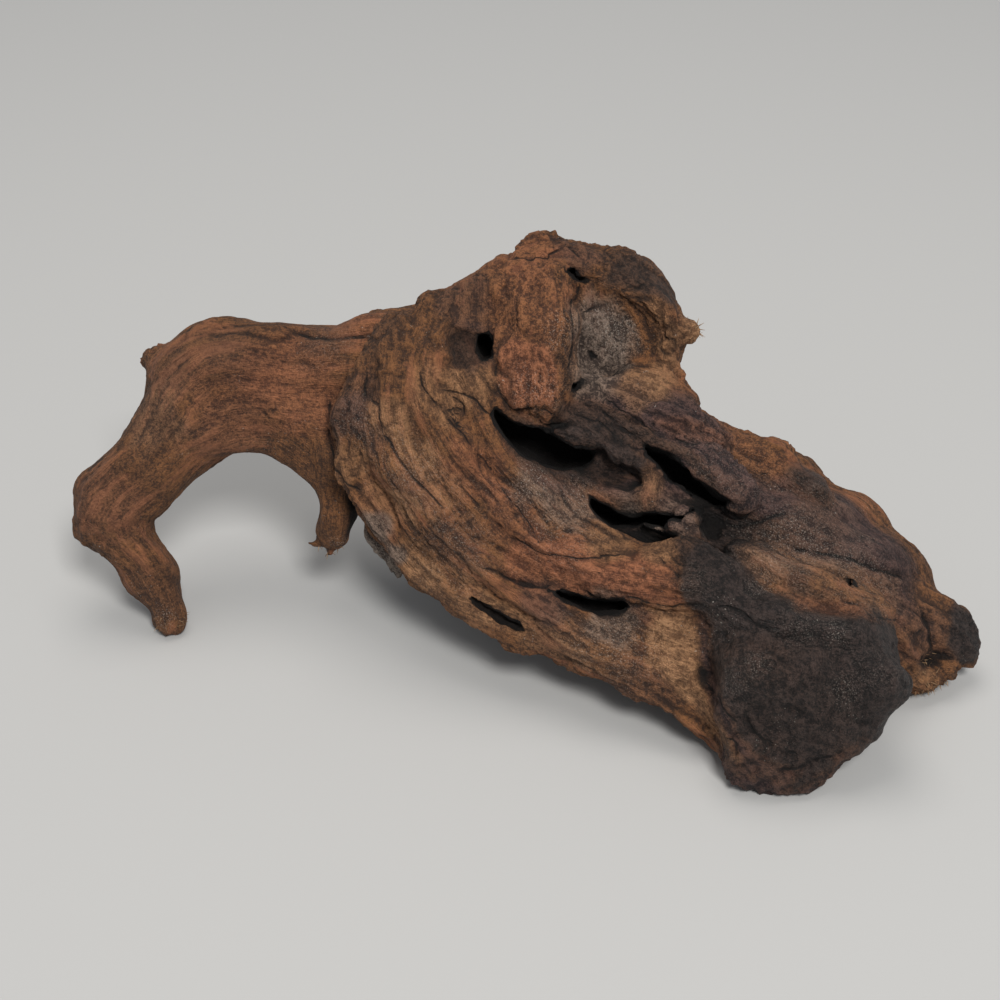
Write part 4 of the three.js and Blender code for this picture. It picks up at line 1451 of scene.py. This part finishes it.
class Graph:
    """A node tree with short words for the nodes that the finishes use."""

    def __init__(self, tree: bpy.types.NodeTree) -> None:
        """Starts from an empty tree."""
        self.tree = tree
        tree.nodes.clear()

    def node(self, kind: str, inputs: dict | None = None, **settings) -> bpy.types.Node:
        """Adds a node.

        Args:
            kind: The node's type.
            inputs: Values or sockets for its inputs, by name or number.
            **settings: Attributes to set on the node.

        Returns:
            The node.
        """
        made = self.tree.nodes.new(kind)
        for name, value in settings.items():
            setattr(made, name, value)
        for name, value in (inputs or {}).items():
            self.feed(made.inputs[name], value)
        return made

    def feed(self, socket: bpy.types.NodeSocket, value: object) -> None:
        """Links a socket to another, or sets its value."""
        if isinstance(value, bpy.types.NodeSocket):
            self.tree.links.new(value, socket)
        else:
            socket.default_value = value

    def attribute(self, name: str, output: str = "Fac") -> bpy.types.NodeSocket:
        """Reads an attribute of the mesh."""
        return self.node("ShaderNodeAttribute", attribute_name=name).outputs[output]

    def math(self, operation: str, first: object, second: object = 0.0) -> bpy.types.NodeSocket:
        """One step of arithmetic."""
        return self.node("ShaderNodeMath", {0: first, 1: second}, operation=operation).outputs[0]

    def stretched(self, vector: bpy.types.NodeSocket, scale: tuple) -> bpy.types.NodeSocket:
        """A vector scaled along each axis."""
        return self.node("ShaderNodeMapping", {"Vector": vector, "Scale": scale}).outputs[0]

    def noise(self, vector: bpy.types.NodeSocket, scale: float, detail: float = 3.0,
              roughness: float = 0.55) -> bpy.types.NodeSocket:
        """Noise from 0 to 1 at a scale."""
        values = {"Vector": vector, "Scale": scale, "Detail": detail, "Roughness": roughness}
        return self.node("ShaderNodeTexNoise", values).outputs["Fac"]

    def ramp(self, value: bpy.types.NodeSocket, low: float, high: float) -> bpy.types.NodeSocket:
        """A value brought from the range low to high to the range 0 to 1, with soft ends."""
        values = {"Value": value, "From Min": low, "From Max": high}
        return self.node("ShaderNodeMapRange", values, interpolation_type="SMOOTHSTEP").outputs[0]

    def mix(self, share: object, first: object, second: object, blend: str = "MIX") -> bpy.types.NodeSocket:
        """Two colours mixed."""
        made = self.node("ShaderNodeMix", data_type="RGBA", blend_type=blend, clamp_factor=True)
        self.feed(made.inputs["Factor"], share)
        self.feed(made.inputs[6], first)
        self.feed(made.inputs[7], second)
        return made.outputs[2]


class GroupMaker:
    """Builds the shader node groups that more than one finish uses, each once."""

    @staticmethod
    def start(name: str, inputs: dict, outputs: dict) -> tuple:
        """Makes an empty group with its sockets.

        Args:
            name: The group's name.
            inputs: Socket type and default for each input.
            outputs: Socket type for each output.

        Returns:
            The group, its graph, its input node and its output node.
        """
        tree = bpy.data.node_groups.new(name, "ShaderNodeTree")
        graph = Graph(tree)
        for label, (kind, default) in inputs.items():
            socket = tree.interface.new_socket(label, in_out="INPUT", socket_type=kind)
            if default is not None:
                socket.default_value = default
        for label, kind in outputs.items():
            tree.interface.new_socket(label, in_out="OUTPUT", socket_type=kind)
        return tree, graph, graph.node("NodeGroupInput"), graph.node("NodeGroupOutput")

    @classmethod
    def grain(cls) -> bpy.types.NodeTree:
        """Wood grain from grain coordinates in millimetres: broad streaks, fine fibres and dark splits."""
        inputs = {"Grain": ("NodeSocketVector", None), "Coarseness": ("NodeSocketFloat", 1.0)}
        outputs = {"Streak": "NodeSocketFloat", "Fibre": "NodeSocketFloat", "Split": "NodeSocketFloat"}
        tree, graph, given, result = cls.start("wood grain", inputs, outputs)
        size = graph.math("DIVIDE", 1.0, given.outputs["Coarseness"])
        scaled = graph.node("ShaderNodeVectorMath", {0: given.outputs["Grain"]}, operation="SCALE")
        graph.feed(scaled.inputs["Scale"], size)
        vector = scaled.outputs[0]
        streak = graph.noise(graph.stretched(vector, (0.03, 0.3, 0.3)), 1.0, 5.0, 0.65)
        fibre = graph.noise(graph.stretched(vector, (0.16, 1.7, 1.7)), 1.0, 4.0, 0.65)
        line = graph.noise(graph.stretched(vector, (0.045, 0.8, 0.8)), 1.0, 2.0, 0.5)
        away = graph.math("ABSOLUTE", graph.math("SUBTRACT", line, 0.5))
        split = graph.ramp(away, 0.022, 0.004)
        graph.feed(result.inputs["Streak"], graph.ramp(streak, 0.3, 0.7))
        graph.feed(result.inputs["Fibre"], graph.ramp(fibre, 0.25, 0.75))
        graph.feed(result.inputs["Split"], split)
        return tree

    @classmethod
    def specks(cls) -> bpy.types.NodeTree:
        """Small pale specks of dust and mineral, by size in millimetres and by how common they are."""
        inputs = {"Size": ("NodeSocketFloat", 0.6), "Amount": ("NodeSocketFloat", 0.5)}
        tree, graph, given, result = cls.start("pale specks", inputs, {"Mask": "NodeSocketFloat"})
        place = graph.node("ShaderNodeTexCoord").outputs["Object"]
        scale = graph.math("DIVIDE", 1000.0, given.outputs["Size"])
        grit = graph.noise(place, scale, 2.0, 0.6)
        where = graph.ramp(graph.noise(place, 60.0, 3.0), 0.42, 0.68)
        level = graph.math("SUBTRACT", 0.79, graph.math("MULTIPLY", where, given.outputs["Amount"]))
        over = graph.math("SUBTRACT", grit, level)
        graph.feed(result.inputs["Mask"], graph.ramp(over, 0.0, 0.1))
        return tree


@dataclass(frozen=True)
class WeatheredWood:
    """The wood's finish: brown, rust, tan, grey and charred by its masks, with grain, dust, painted shade and
    some painted light.
    """

    name: str = "weathered wood"
    dark: str = "#432d20"
    warm: str = "#8a5c38"
    # Umber, also used for painted shade.
    umber_and_shade_dark: str = "#281d1e"
    umber_and_shade: str = "#5f4741"
    rust_dark: str = "#643b29"
    rust: str = "#ac6e4e"
    # Tan, also used for painted light.
    tan_and_light_dark: str = "#745238"
    tan_and_light: str = "#bd9069"
    grey_dark: str = "#443a35"
    grey: str = "#95867a"
    # Char, also used for painted shade.
    char_and_shade_dark: str = "#161110"
    char_and_shade: str = "#413531"
    # The near black of the painted shade in hollows, cracks and grooves.
    crevice: str = "#0b0807"
    dust: str = "#b9b1a6"

    def make(self, grain: bpy.types.NodeTree, specks: bpy.types.NodeTree) -> bpy.types.Material:
        """Builds the material.

        Args:
            grain: The wood grain group.
            specks: The pale specks group.

        Returns:
            The material.
        """
        material = bpy.data.materials.new(self.name)
        material.use_nodes = True
        graph = Graph(material.node_tree)
        place = graph.node("ShaderNodeTexCoord").outputs["Object"]
        figure = graph.node("ShaderNodeGroup", node_tree=grain)
        graph.feed(figure.inputs["Grain"], graph.attribute("grain", "Vector"))
        graph.feed(figure.inputs["Coarseness"], 1.0)
        streak, fibre, split = (figure.outputs[name] for name in ("Streak", "Fibre", "Split"))
        blotch = graph.ramp(graph.noise(place, 42.0, 4.0, 0.6), 0.32, 0.68)
        mottle = graph.ramp(graph.noise(place, 300.0, 4.0, 0.65), 0.3, 0.7)
        crumb = graph.noise(place, 1000.0, 4.0, 0.7)
        grit = graph.noise(place, 2300.0, 2.0, 0.6)
        masks = {tint: graph.attribute(tint.value) for tint in Tint if tint is not Tint.BROWN}
        crust = graph.math("MAXIMUM", graph.attribute("crust"), graph.math("MULTIPLY", masks[Tint.CHAR_AND_SHADE], 0.8))
        grained = graph.math("SUBTRACT", 1.1, crust)
        crumbled = graph.math("ADD", 0.7, graph.math("MULTIPLY", crust, 0.6))
        # Painted light and shade: lighter where the relief stands proud, darker where it sinks.
        tone = graph.math("ADD", graph.math("MULTIPLY", graph.attribute("height"), 0.4), 0.42)
        for value, share, weight in (
            (streak, 0.36, grained), (fibre, 0.5, grained), (blotch, 0.22, 1.0), (mottle, 0.45, crumbled),
            (graph.ramp(crumb, 0.34, 0.66), 0.8, crumbled), (graph.ramp(grit, 0.34, 0.66), 0.45, crumbled),
        ):
            amount = graph.math("MULTIPLY", graph.math("SUBTRACT", value, 0.5), share)
            tone = graph.math("ADD", tone, graph.math("MULTIPLY", amount, weight))
        tone = graph.node("ShaderNodeClamp", {"Value": tone}).outputs[0]

        colour = graph.mix(tone, linear(self.dark), linear(self.warm))
        wisp = graph.ramp(graph.math("MULTIPLY", streak, blotch), 0.25, 0.75)
        colour = graph.mix(graph.math("MULTIPLY", wisp, 0.4), colour, linear(self.rust))
        for tint, low, high in (
            (Tint.UMBER_AND_SHADE, self.umber_and_shade_dark, self.umber_and_shade),
            (Tint.RUST, self.rust_dark, self.rust),
            (Tint.TAN, self.tan_and_light_dark, self.tan_and_light),
            (Tint.GREY, self.grey_dark, self.grey),
            (Tint.CHAR_AND_SHADE, self.char_and_shade_dark, self.char_and_shade),
        ):
            swatch = graph.mix(tone, linear(low), linear(high))
            colour = graph.mix(masks[tint], colour, swatch)

        # Painted shade: deep hollows, cracks, splits and grooves darken towards near black.
        hollow = graph.ramp(graph.attribute("hollow"), 0.48, 0.86)
        crack = graph.ramp(graph.math("ABSOLUTE", graph.attribute("crack")), 1.4, 0.4)
        crack = graph.math("MULTIPLY", crack, graph.attribute("cracked"))
        crack = graph.math("MULTIPLY", crack, graph.ramp(graph.noise(place, 210.0, 2.0), 0.32, 0.5))
        line = graph.math("MULTIPLY", split, graph.math("MULTIPLY", graph.ramp(mottle, 0.4, 0.9), grained))
        crevice = graph.math("MAXIMUM", graph.math("MULTIPLY", crack, 0.85), graph.attribute("groove"))
        crevice = graph.math("MAXIMUM", crevice, graph.math("MULTIPLY", line, 0.35))
        crevice = graph.math("MAXIMUM", crevice, graph.math("MULTIPLY", hollow, 0.97))
        colour = graph.mix(crevice, colour, linear(self.crevice))

        speck = graph.node("ShaderNodeGroup", node_tree=specks)
        graph.feed(speck.inputs["Size"], 0.7)
        graph.feed(speck.inputs["Amount"], 0.14)
        caught = graph.math("MULTIPLY", masks[Tint.DUST], graph.ramp(grit, 0.54, 0.7))
        dusty = graph.math("MAXIMUM", graph.math("MULTIPLY", speck.outputs["Mask"], 0.7), caught)
        dusty = graph.math("MULTIPLY", dusty, graph.math("SUBTRACT", 1.0, hollow))
        colour = graph.mix(dusty, colour, linear(self.dust))

        height = graph.math("ADD", graph.math("MULTIPLY", streak, 0.3), graph.math("MULTIPLY", fibre, 0.4))
        height = graph.math("ADD", height, graph.math("MULTIPLY", mottle, 0.4))
        height = graph.math("ADD", height, graph.math("MULTIPLY", crumb, 0.8))
        height = graph.math("ADD", height, graph.math("MULTIPLY", grit, 0.2))
        height = graph.math("SUBTRACT", height, graph.math("MULTIPLY", crevice, 0.6))
        bump = graph.node("ShaderNodeBump", {"Height": height, "Strength": 1.0, "Distance": 0.0014})
        rough = graph.math("SUBTRACT", 0.86, graph.math("MULTIPLY", masks[Tint.CHAR_AND_SHADE], 0.22))
        rough = graph.math("SUBTRACT", rough, graph.math("MULTIPLY", fibre, 0.12))
        shader = graph.node("ShaderNodeBsdfPrincipled", {"Base Color": colour, "Roughness": rough})
        graph.feed(shader.inputs["Normal"], bump.outputs[0])
        shader.inputs["Specular IOR Level"].default_value = 0.35
        graph.node("ShaderNodeOutputMaterial", {"Surface": shader.outputs[0]})
        return material


@dataclass(frozen=True)
class TornFibre:
    """The finish of loose fibres: pale straw to brown along their length."""

    name: str = "torn fibre"
    dark: str = "#5f4029"
    pale: str = "#a98a66"

    def make(self, grain: bpy.types.NodeTree) -> bpy.types.Material:
        """Builds the material.

        Args:
            grain: The shader group of the wood grain.

        Returns:
            The material.
        """
        material = bpy.data.materials.new(self.name)
        material.use_nodes = True
        graph = Graph(material.node_tree)
        place = graph.node("ShaderNodeTexCoord").outputs["Object"]
        figure = graph.node("ShaderNodeGroup", node_tree=grain)
        graph.feed(figure.inputs["Grain"], graph.stretched(place, (1000.0, 1000.0, 1000.0)))
        graph.feed(figure.inputs["Coarseness"], 0.3)
        colour = graph.mix(figure.outputs["Streak"], linear(self.dark), linear(self.pale))
        relief = {"Height": figure.outputs["Fibre"], "Strength": 0.5, "Distance": 0.0002}
        bump = graph.node("ShaderNodeBump", relief)
        shader = graph.node("ShaderNodeBsdfPrincipled", {"Base Color": colour})
        graph.feed(shader.inputs["Normal"], bump.outputs[0])
        shader.inputs["Roughness"].default_value = 0.8
        graph.node("ShaderNodeOutputMaterial", {"Surface": shader.outputs[0]})
        return material


@dataclass
class WoodBody:
    """The driftwood itself.

    Attributes:
        step: Spacing of the grid that its skin is drawn on, in millimetres.
        sight: The camera that colours and cracks were picked from.
    """

    step: float = 1.2
    sight: Sight = SIGHT

    # The torn places, as a centre and a radius in millimetres in the sketch frame: the stub's end, the arm's
    # tip, under the tail and on the head's rim. Near the ground the fibres are worn off.
    TORN_SPOTS = (((-55, -8, 25), 7), ((-109, -21, 3), 8), ((133, -52, 8), 10), ((62, 8, 100), 5))
    WORN_HEIGHTS = (1.5, 4.0)

    def build(self, material: bpy.types.Material) -> bpy.types.Object:
        """Builds and weathers the wood.

        Args:
            material: Its finish.

        Returns:
            The finished object, in metres about the part's origin.
        """
        wood = WoodField()
        shell = Shell.from_field(wood, self.step)
        weathering = Weathering(wood, shell)
        shell = weathering.finish(self.sight)
        mesh = self.mesh_from(shell)
        for tint, mask in weathering.masks.items():
            if tint is not Tint.BROWN:
                self.add_values(mesh, tint.value, mask)
        self.add_values(mesh, "hollow", weathering.hollow)
        self.add_values(mesh, "groove", weathering.groove)
        self.add_values(mesh, "height", weathering.height)
        self.add_values(mesh, "crust", weathering.crust)
        self.add_values(mesh, "crack", weathering.crack)
        self.add_values(mesh, "cracked", weathering.cracked)
        self.add_values(mesh, "torn", self.torn(shell))
        grain = mesh.attributes.new("grain", "FLOAT_VECTOR", "CORNER")
        grain.data.foreach_set("vector", weathering.corner_grain().astype(np.float32).ravel())
        mesh.materials.append(material)
        wood_object = bpy.data.objects.new("driftwood_body", mesh)
        bpy.context.collection.objects.link(wood_object)
        return wood_object

    @staticmethod
    def mesh_from(shell: Shell) -> bpy.types.Mesh:
        """Turns a shell into a smooth-shaded mesh in metres.

        Args:
            shell: The weathered shell, in millimetres in the sketch frame.

        Returns:
            The mesh.
        """
        mesh = bpy.data.meshes.new("driftwood_body")
        count = len(shell.quads)
        mesh.vertices.add(len(shell.points))
        mesh.vertices.foreach_set("co", ((shell.points - ORIGIN) * MM).astype(np.float32).ravel())
        mesh.loops.add(4 * count)
        mesh.loops.foreach_set("vertex_index", shell.quads.astype(np.int32).ravel())
        mesh.polygons.add(count)
        mesh.polygons.foreach_set("loop_start", np.arange(0, 4 * count, 4, dtype=np.int32))
        mesh.update(calc_edges=True)
        mesh.shade_smooth()
        return mesh

    @staticmethod
    def add_values(mesh: bpy.types.Mesh, name: str, values: np.ndarray) -> None:
        """Stores one number for each vertex."""
        mesh.attributes.new(name, "FLOAT", "POINT").data.foreach_set("value", values.astype(np.float32))

    def torn(self, shell: Shell) -> np.ndarray:
        """Finds where fibres stand loose.

        Args:
            shell: The weathered shell.

        Returns:
            From 0 to 1 for each vertex.
        """
        total = np.zeros(len(shell.points))
        for centre, radius in self.TORN_SPOTS:
            away = np.linalg.norm(shell.points - np.array(centre), axis=1)
            total = np.maximum(total, smooth_step(radius, 0.6 * radius, away))
        return total * smooth_step(*self.WORN_HEIGHTS, shell.points[:, 2])


@dataclass
class TornFibres:
    """Loose fibres that stand out of the torn ends, made by a Geometry Nodes tree.

    Attributes:
        density: Fibres to the square metre where the wood is fully torn.
        length: Length of the longest fibre, in metres.
        girth: Radius at its root, in metres.
        seed: Fixes where they stand.
    """

    density: float = 190000.0
    length: float = 0.0022
    girth: float = 0.0002
    seed: int = 7

    def build(self, wood: bpy.types.Object, material: bpy.types.Material) -> bpy.types.Object:
        """Grows the fibres on the wood.

        Args:
            wood: The object with the torn mask.
            material: The finish of the fibres.

        Returns:
            The fibres as one plain mesh object.
        """
        carrier = bpy.data.objects.new("torn_fibres_carrier", wood.data)
        bpy.context.collection.objects.link(carrier)
        modifier = carrier.modifiers.new("fibres", "NODES")
        modifier.node_group = self.tree()
        values = {
            "Density": self.density, "Length": self.length, "Girth": self.girth,
            "Seed": self.seed, "Finish": material,
        }
        for item in modifier.node_group.interface.items_tree:
            if item.item_type == "SOCKET" and item.in_out == "INPUT" and item.name in values:
                modifier[item.identifier] = values[item.name]
        grown = carrier.evaluated_get(bpy.context.evaluated_depsgraph_get())
        mesh = bpy.data.meshes.new_from_object(grown)
        carrier.modifiers.remove(modifier)
        bpy.data.objects.remove(carrier)
        mesh.name = "torn_fibres"
        if not mesh.materials:
            mesh.materials.append(material)
        fibres = bpy.data.objects.new("torn_fibres", mesh)
        bpy.context.collection.objects.link(fibres)
        return fibres

    @staticmethod
    def tree() -> bpy.types.NodeTree:
        """The tree: points on the torn faces, a tapered fibre on each, turned and scaled at random."""
        tree = bpy.data.node_groups.new("grow torn fibres", "GeometryNodeTree")
        face = tree.interface
        face.new_socket("Geometry", in_out="INPUT", socket_type="NodeSocketGeometry")
        for name in ("Density", "Length", "Girth"):
            face.new_socket(name, in_out="INPUT", socket_type="NodeSocketFloat")
        face.new_socket("Seed", in_out="INPUT", socket_type="NodeSocketInt")
        face.new_socket("Finish", in_out="INPUT", socket_type="NodeSocketMaterial")
        face.new_socket("Geometry", in_out="OUTPUT", socket_type="NodeSocketGeometry")
        graph = Graph(tree)
        given = graph.node("NodeGroupInput")
        torn = graph.node("GeometryNodeInputNamedAttribute", {"Name": "torn"}, data_type="FLOAT")
        amount = graph.math("MULTIPLY", torn.outputs[0], given.outputs["Density"])
        spread = {"Mesh": given.outputs["Geometry"], "Density": amount, "Seed": given.outputs["Seed"]}
        points = graph.node("GeometryNodeDistributePointsOnFaces", spread)
        cone = graph.node("GeometryNodeMeshCone", {
            "Vertices": 5, "Radius Bottom": given.outputs["Girth"], "Radius Top": 0.00004,
            "Depth": given.outputs["Length"],
        })
        tilt = graph.node("FunctionNodeRandomValue", {"Seed": 3}, data_type="FLOAT_VECTOR")
        tilt.inputs["Min"].default_value = (-0.7, -0.7, -3.1)
        tilt.inputs["Max"].default_value = (0.7, 0.7, 3.1)
        turned = graph.node("FunctionNodeRotateRotation", {
            "Rotation": points.outputs["Rotation"], "Rotate By": tilt.outputs[0],
        }, rotation_space="LOCAL")
        size = graph.node("FunctionNodeRandomValue", {"Seed": 4}, data_type="FLOAT")
        size.inputs[2].default_value = 0.35
        size.inputs[3].default_value = 1.0
        placed = graph.node("GeometryNodeInstanceOnPoints", {
            "Points": points.outputs["Points"], "Instance": cone.outputs["Mesh"],
            "Rotation": turned.outputs[0], "Scale": size.outputs[1],
        })
        real = graph.node("GeometryNodeRealizeInstances", {"Geometry": placed.outputs[0]})
        dressed = graph.node("GeometryNodeSetMaterial", {
            "Geometry": real.outputs[0], "Material": given.outputs["Finish"],
        })
        graph.node("NodeGroupOutput", {"Geometry": dressed.outputs[0]})
        return tree


@dataclass
class Studio:
    """The pale floor, the soft light and the camera at the photograph's angle."""

    floor_size: float = 6.0
    floor_colour: str = "#b3b3b2"
    room_colour: str = "#eef1f5"
    room_strength: float = 0.38
    sight: Sight = SIGHT

    # Each lamp's name, its place and its side in metres, its watts and its colour.
    LAMPS = (
        ("front lamp", (0.42, -1.6, 1.95), 0.6, 55.0, "#fffdfa"),
        ("top lamp", (-0.1, 0.2, 1.3), 0.8, 7.0, "#fffaf4"),
    )
    AIM = (0.0, 0.0, 0.04)

    def floor(self) -> bpy.types.Object:
        """A plain pale floor."""
        bpy.ops.mesh.primitive_plane_add(size=self.floor_size)
        floor = bpy.context.object
        floor.name = "floor"
        material = bpy.data.materials.new("pale floor")
        material.use_nodes = True
        shader = material.node_tree.nodes["Principled BSDF"]
        shader.inputs["Base Color"].default_value = linear(self.floor_colour)
        shader.inputs["Roughness"].default_value = 0.7
        shader.inputs["Specular IOR Level"].default_value = 0.2
        floor.data.materials.append(material)
        return floor

    def light(self) -> None:
        """Soft light from all round, a broad lamp high in front and a faint one above."""
        world = bpy.data.worlds.new("soft room")
        bpy.context.scene.world = world
        world.use_nodes = True
        background = world.node_tree.nodes["Background"]
        background.inputs["Color"].default_value = linear(self.room_colour)
        background.inputs["Strength"].default_value = self.room_strength
        for details in self.LAMPS:
            self.lamp(*details)

    def lamp(self, name: str, place: tuple, size: float, watts: float, colour: str) -> None:
        """Hangs a square lamp, aimed at the wood.

        Args:
            name: Its name.
            place: Its centre, in metres.
            size: Its side, in metres.
            watts: Its power.
            colour: Its colour code.
        """
        data = bpy.data.lights.new(name, "AREA")
        data.size = size
        data.energy = watts
        data.color = linear(colour)[:3]
        lamp = bpy.data.objects.new(name, data)
        bpy.context.collection.objects.link(lamp)
        lamp.location = place
        aim = Vector(self.AIM) - Vector(place)
        lamp.rotation_euler = aim.to_track_quat("-Z", "Y").to_euler()

    def camera(self) -> None:
        """The camera, which sees what the photograph sees."""
        data = bpy.data.cameras.new("camera")
        data.sensor_width = 36.0
        data.lens = data.sensor_width * self.sight.focal_pixels / (2 * self.sight.centre_pixel)
        camera = bpy.data.objects.new("camera", data)
        bpy.context.collection.objects.link(camera)
        camera.location = (self.sight.place - ORIGIN) * MM
        camera.rotation_euler = (math.radians(90) - self.sight.elevation, 0.0, 0.0)
        bpy.context.scene.camera = camera


def main() -> None:
    """Builds the studio and the wood, and reports each piece."""
    logging.basicConfig(level=logging.INFO, format="%(message)s")
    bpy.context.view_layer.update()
    bpy.context.scene.view_settings.view_transform = "Standard"
    studio = Studio()
    studio.camera()
    studio.floor()
    studio.light()

    grain = GroupMaker.grain()
    specks = GroupMaker.specks()
    wood = WoodBody().build(WeatheredWood().make(grain, specks))
    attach(wood, "root")
    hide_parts("driftwood")
    log.info("driftwood_body: %d faces", len(wood.data.polygons))

    fibres = TornFibres().build(wood, TornFibre().make(grain))
    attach(fibres, "root")
    log.info("torn_fibres: %d faces", len(fibres.data.polygons))

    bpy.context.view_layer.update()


if __name__ == "__main__":
    main()
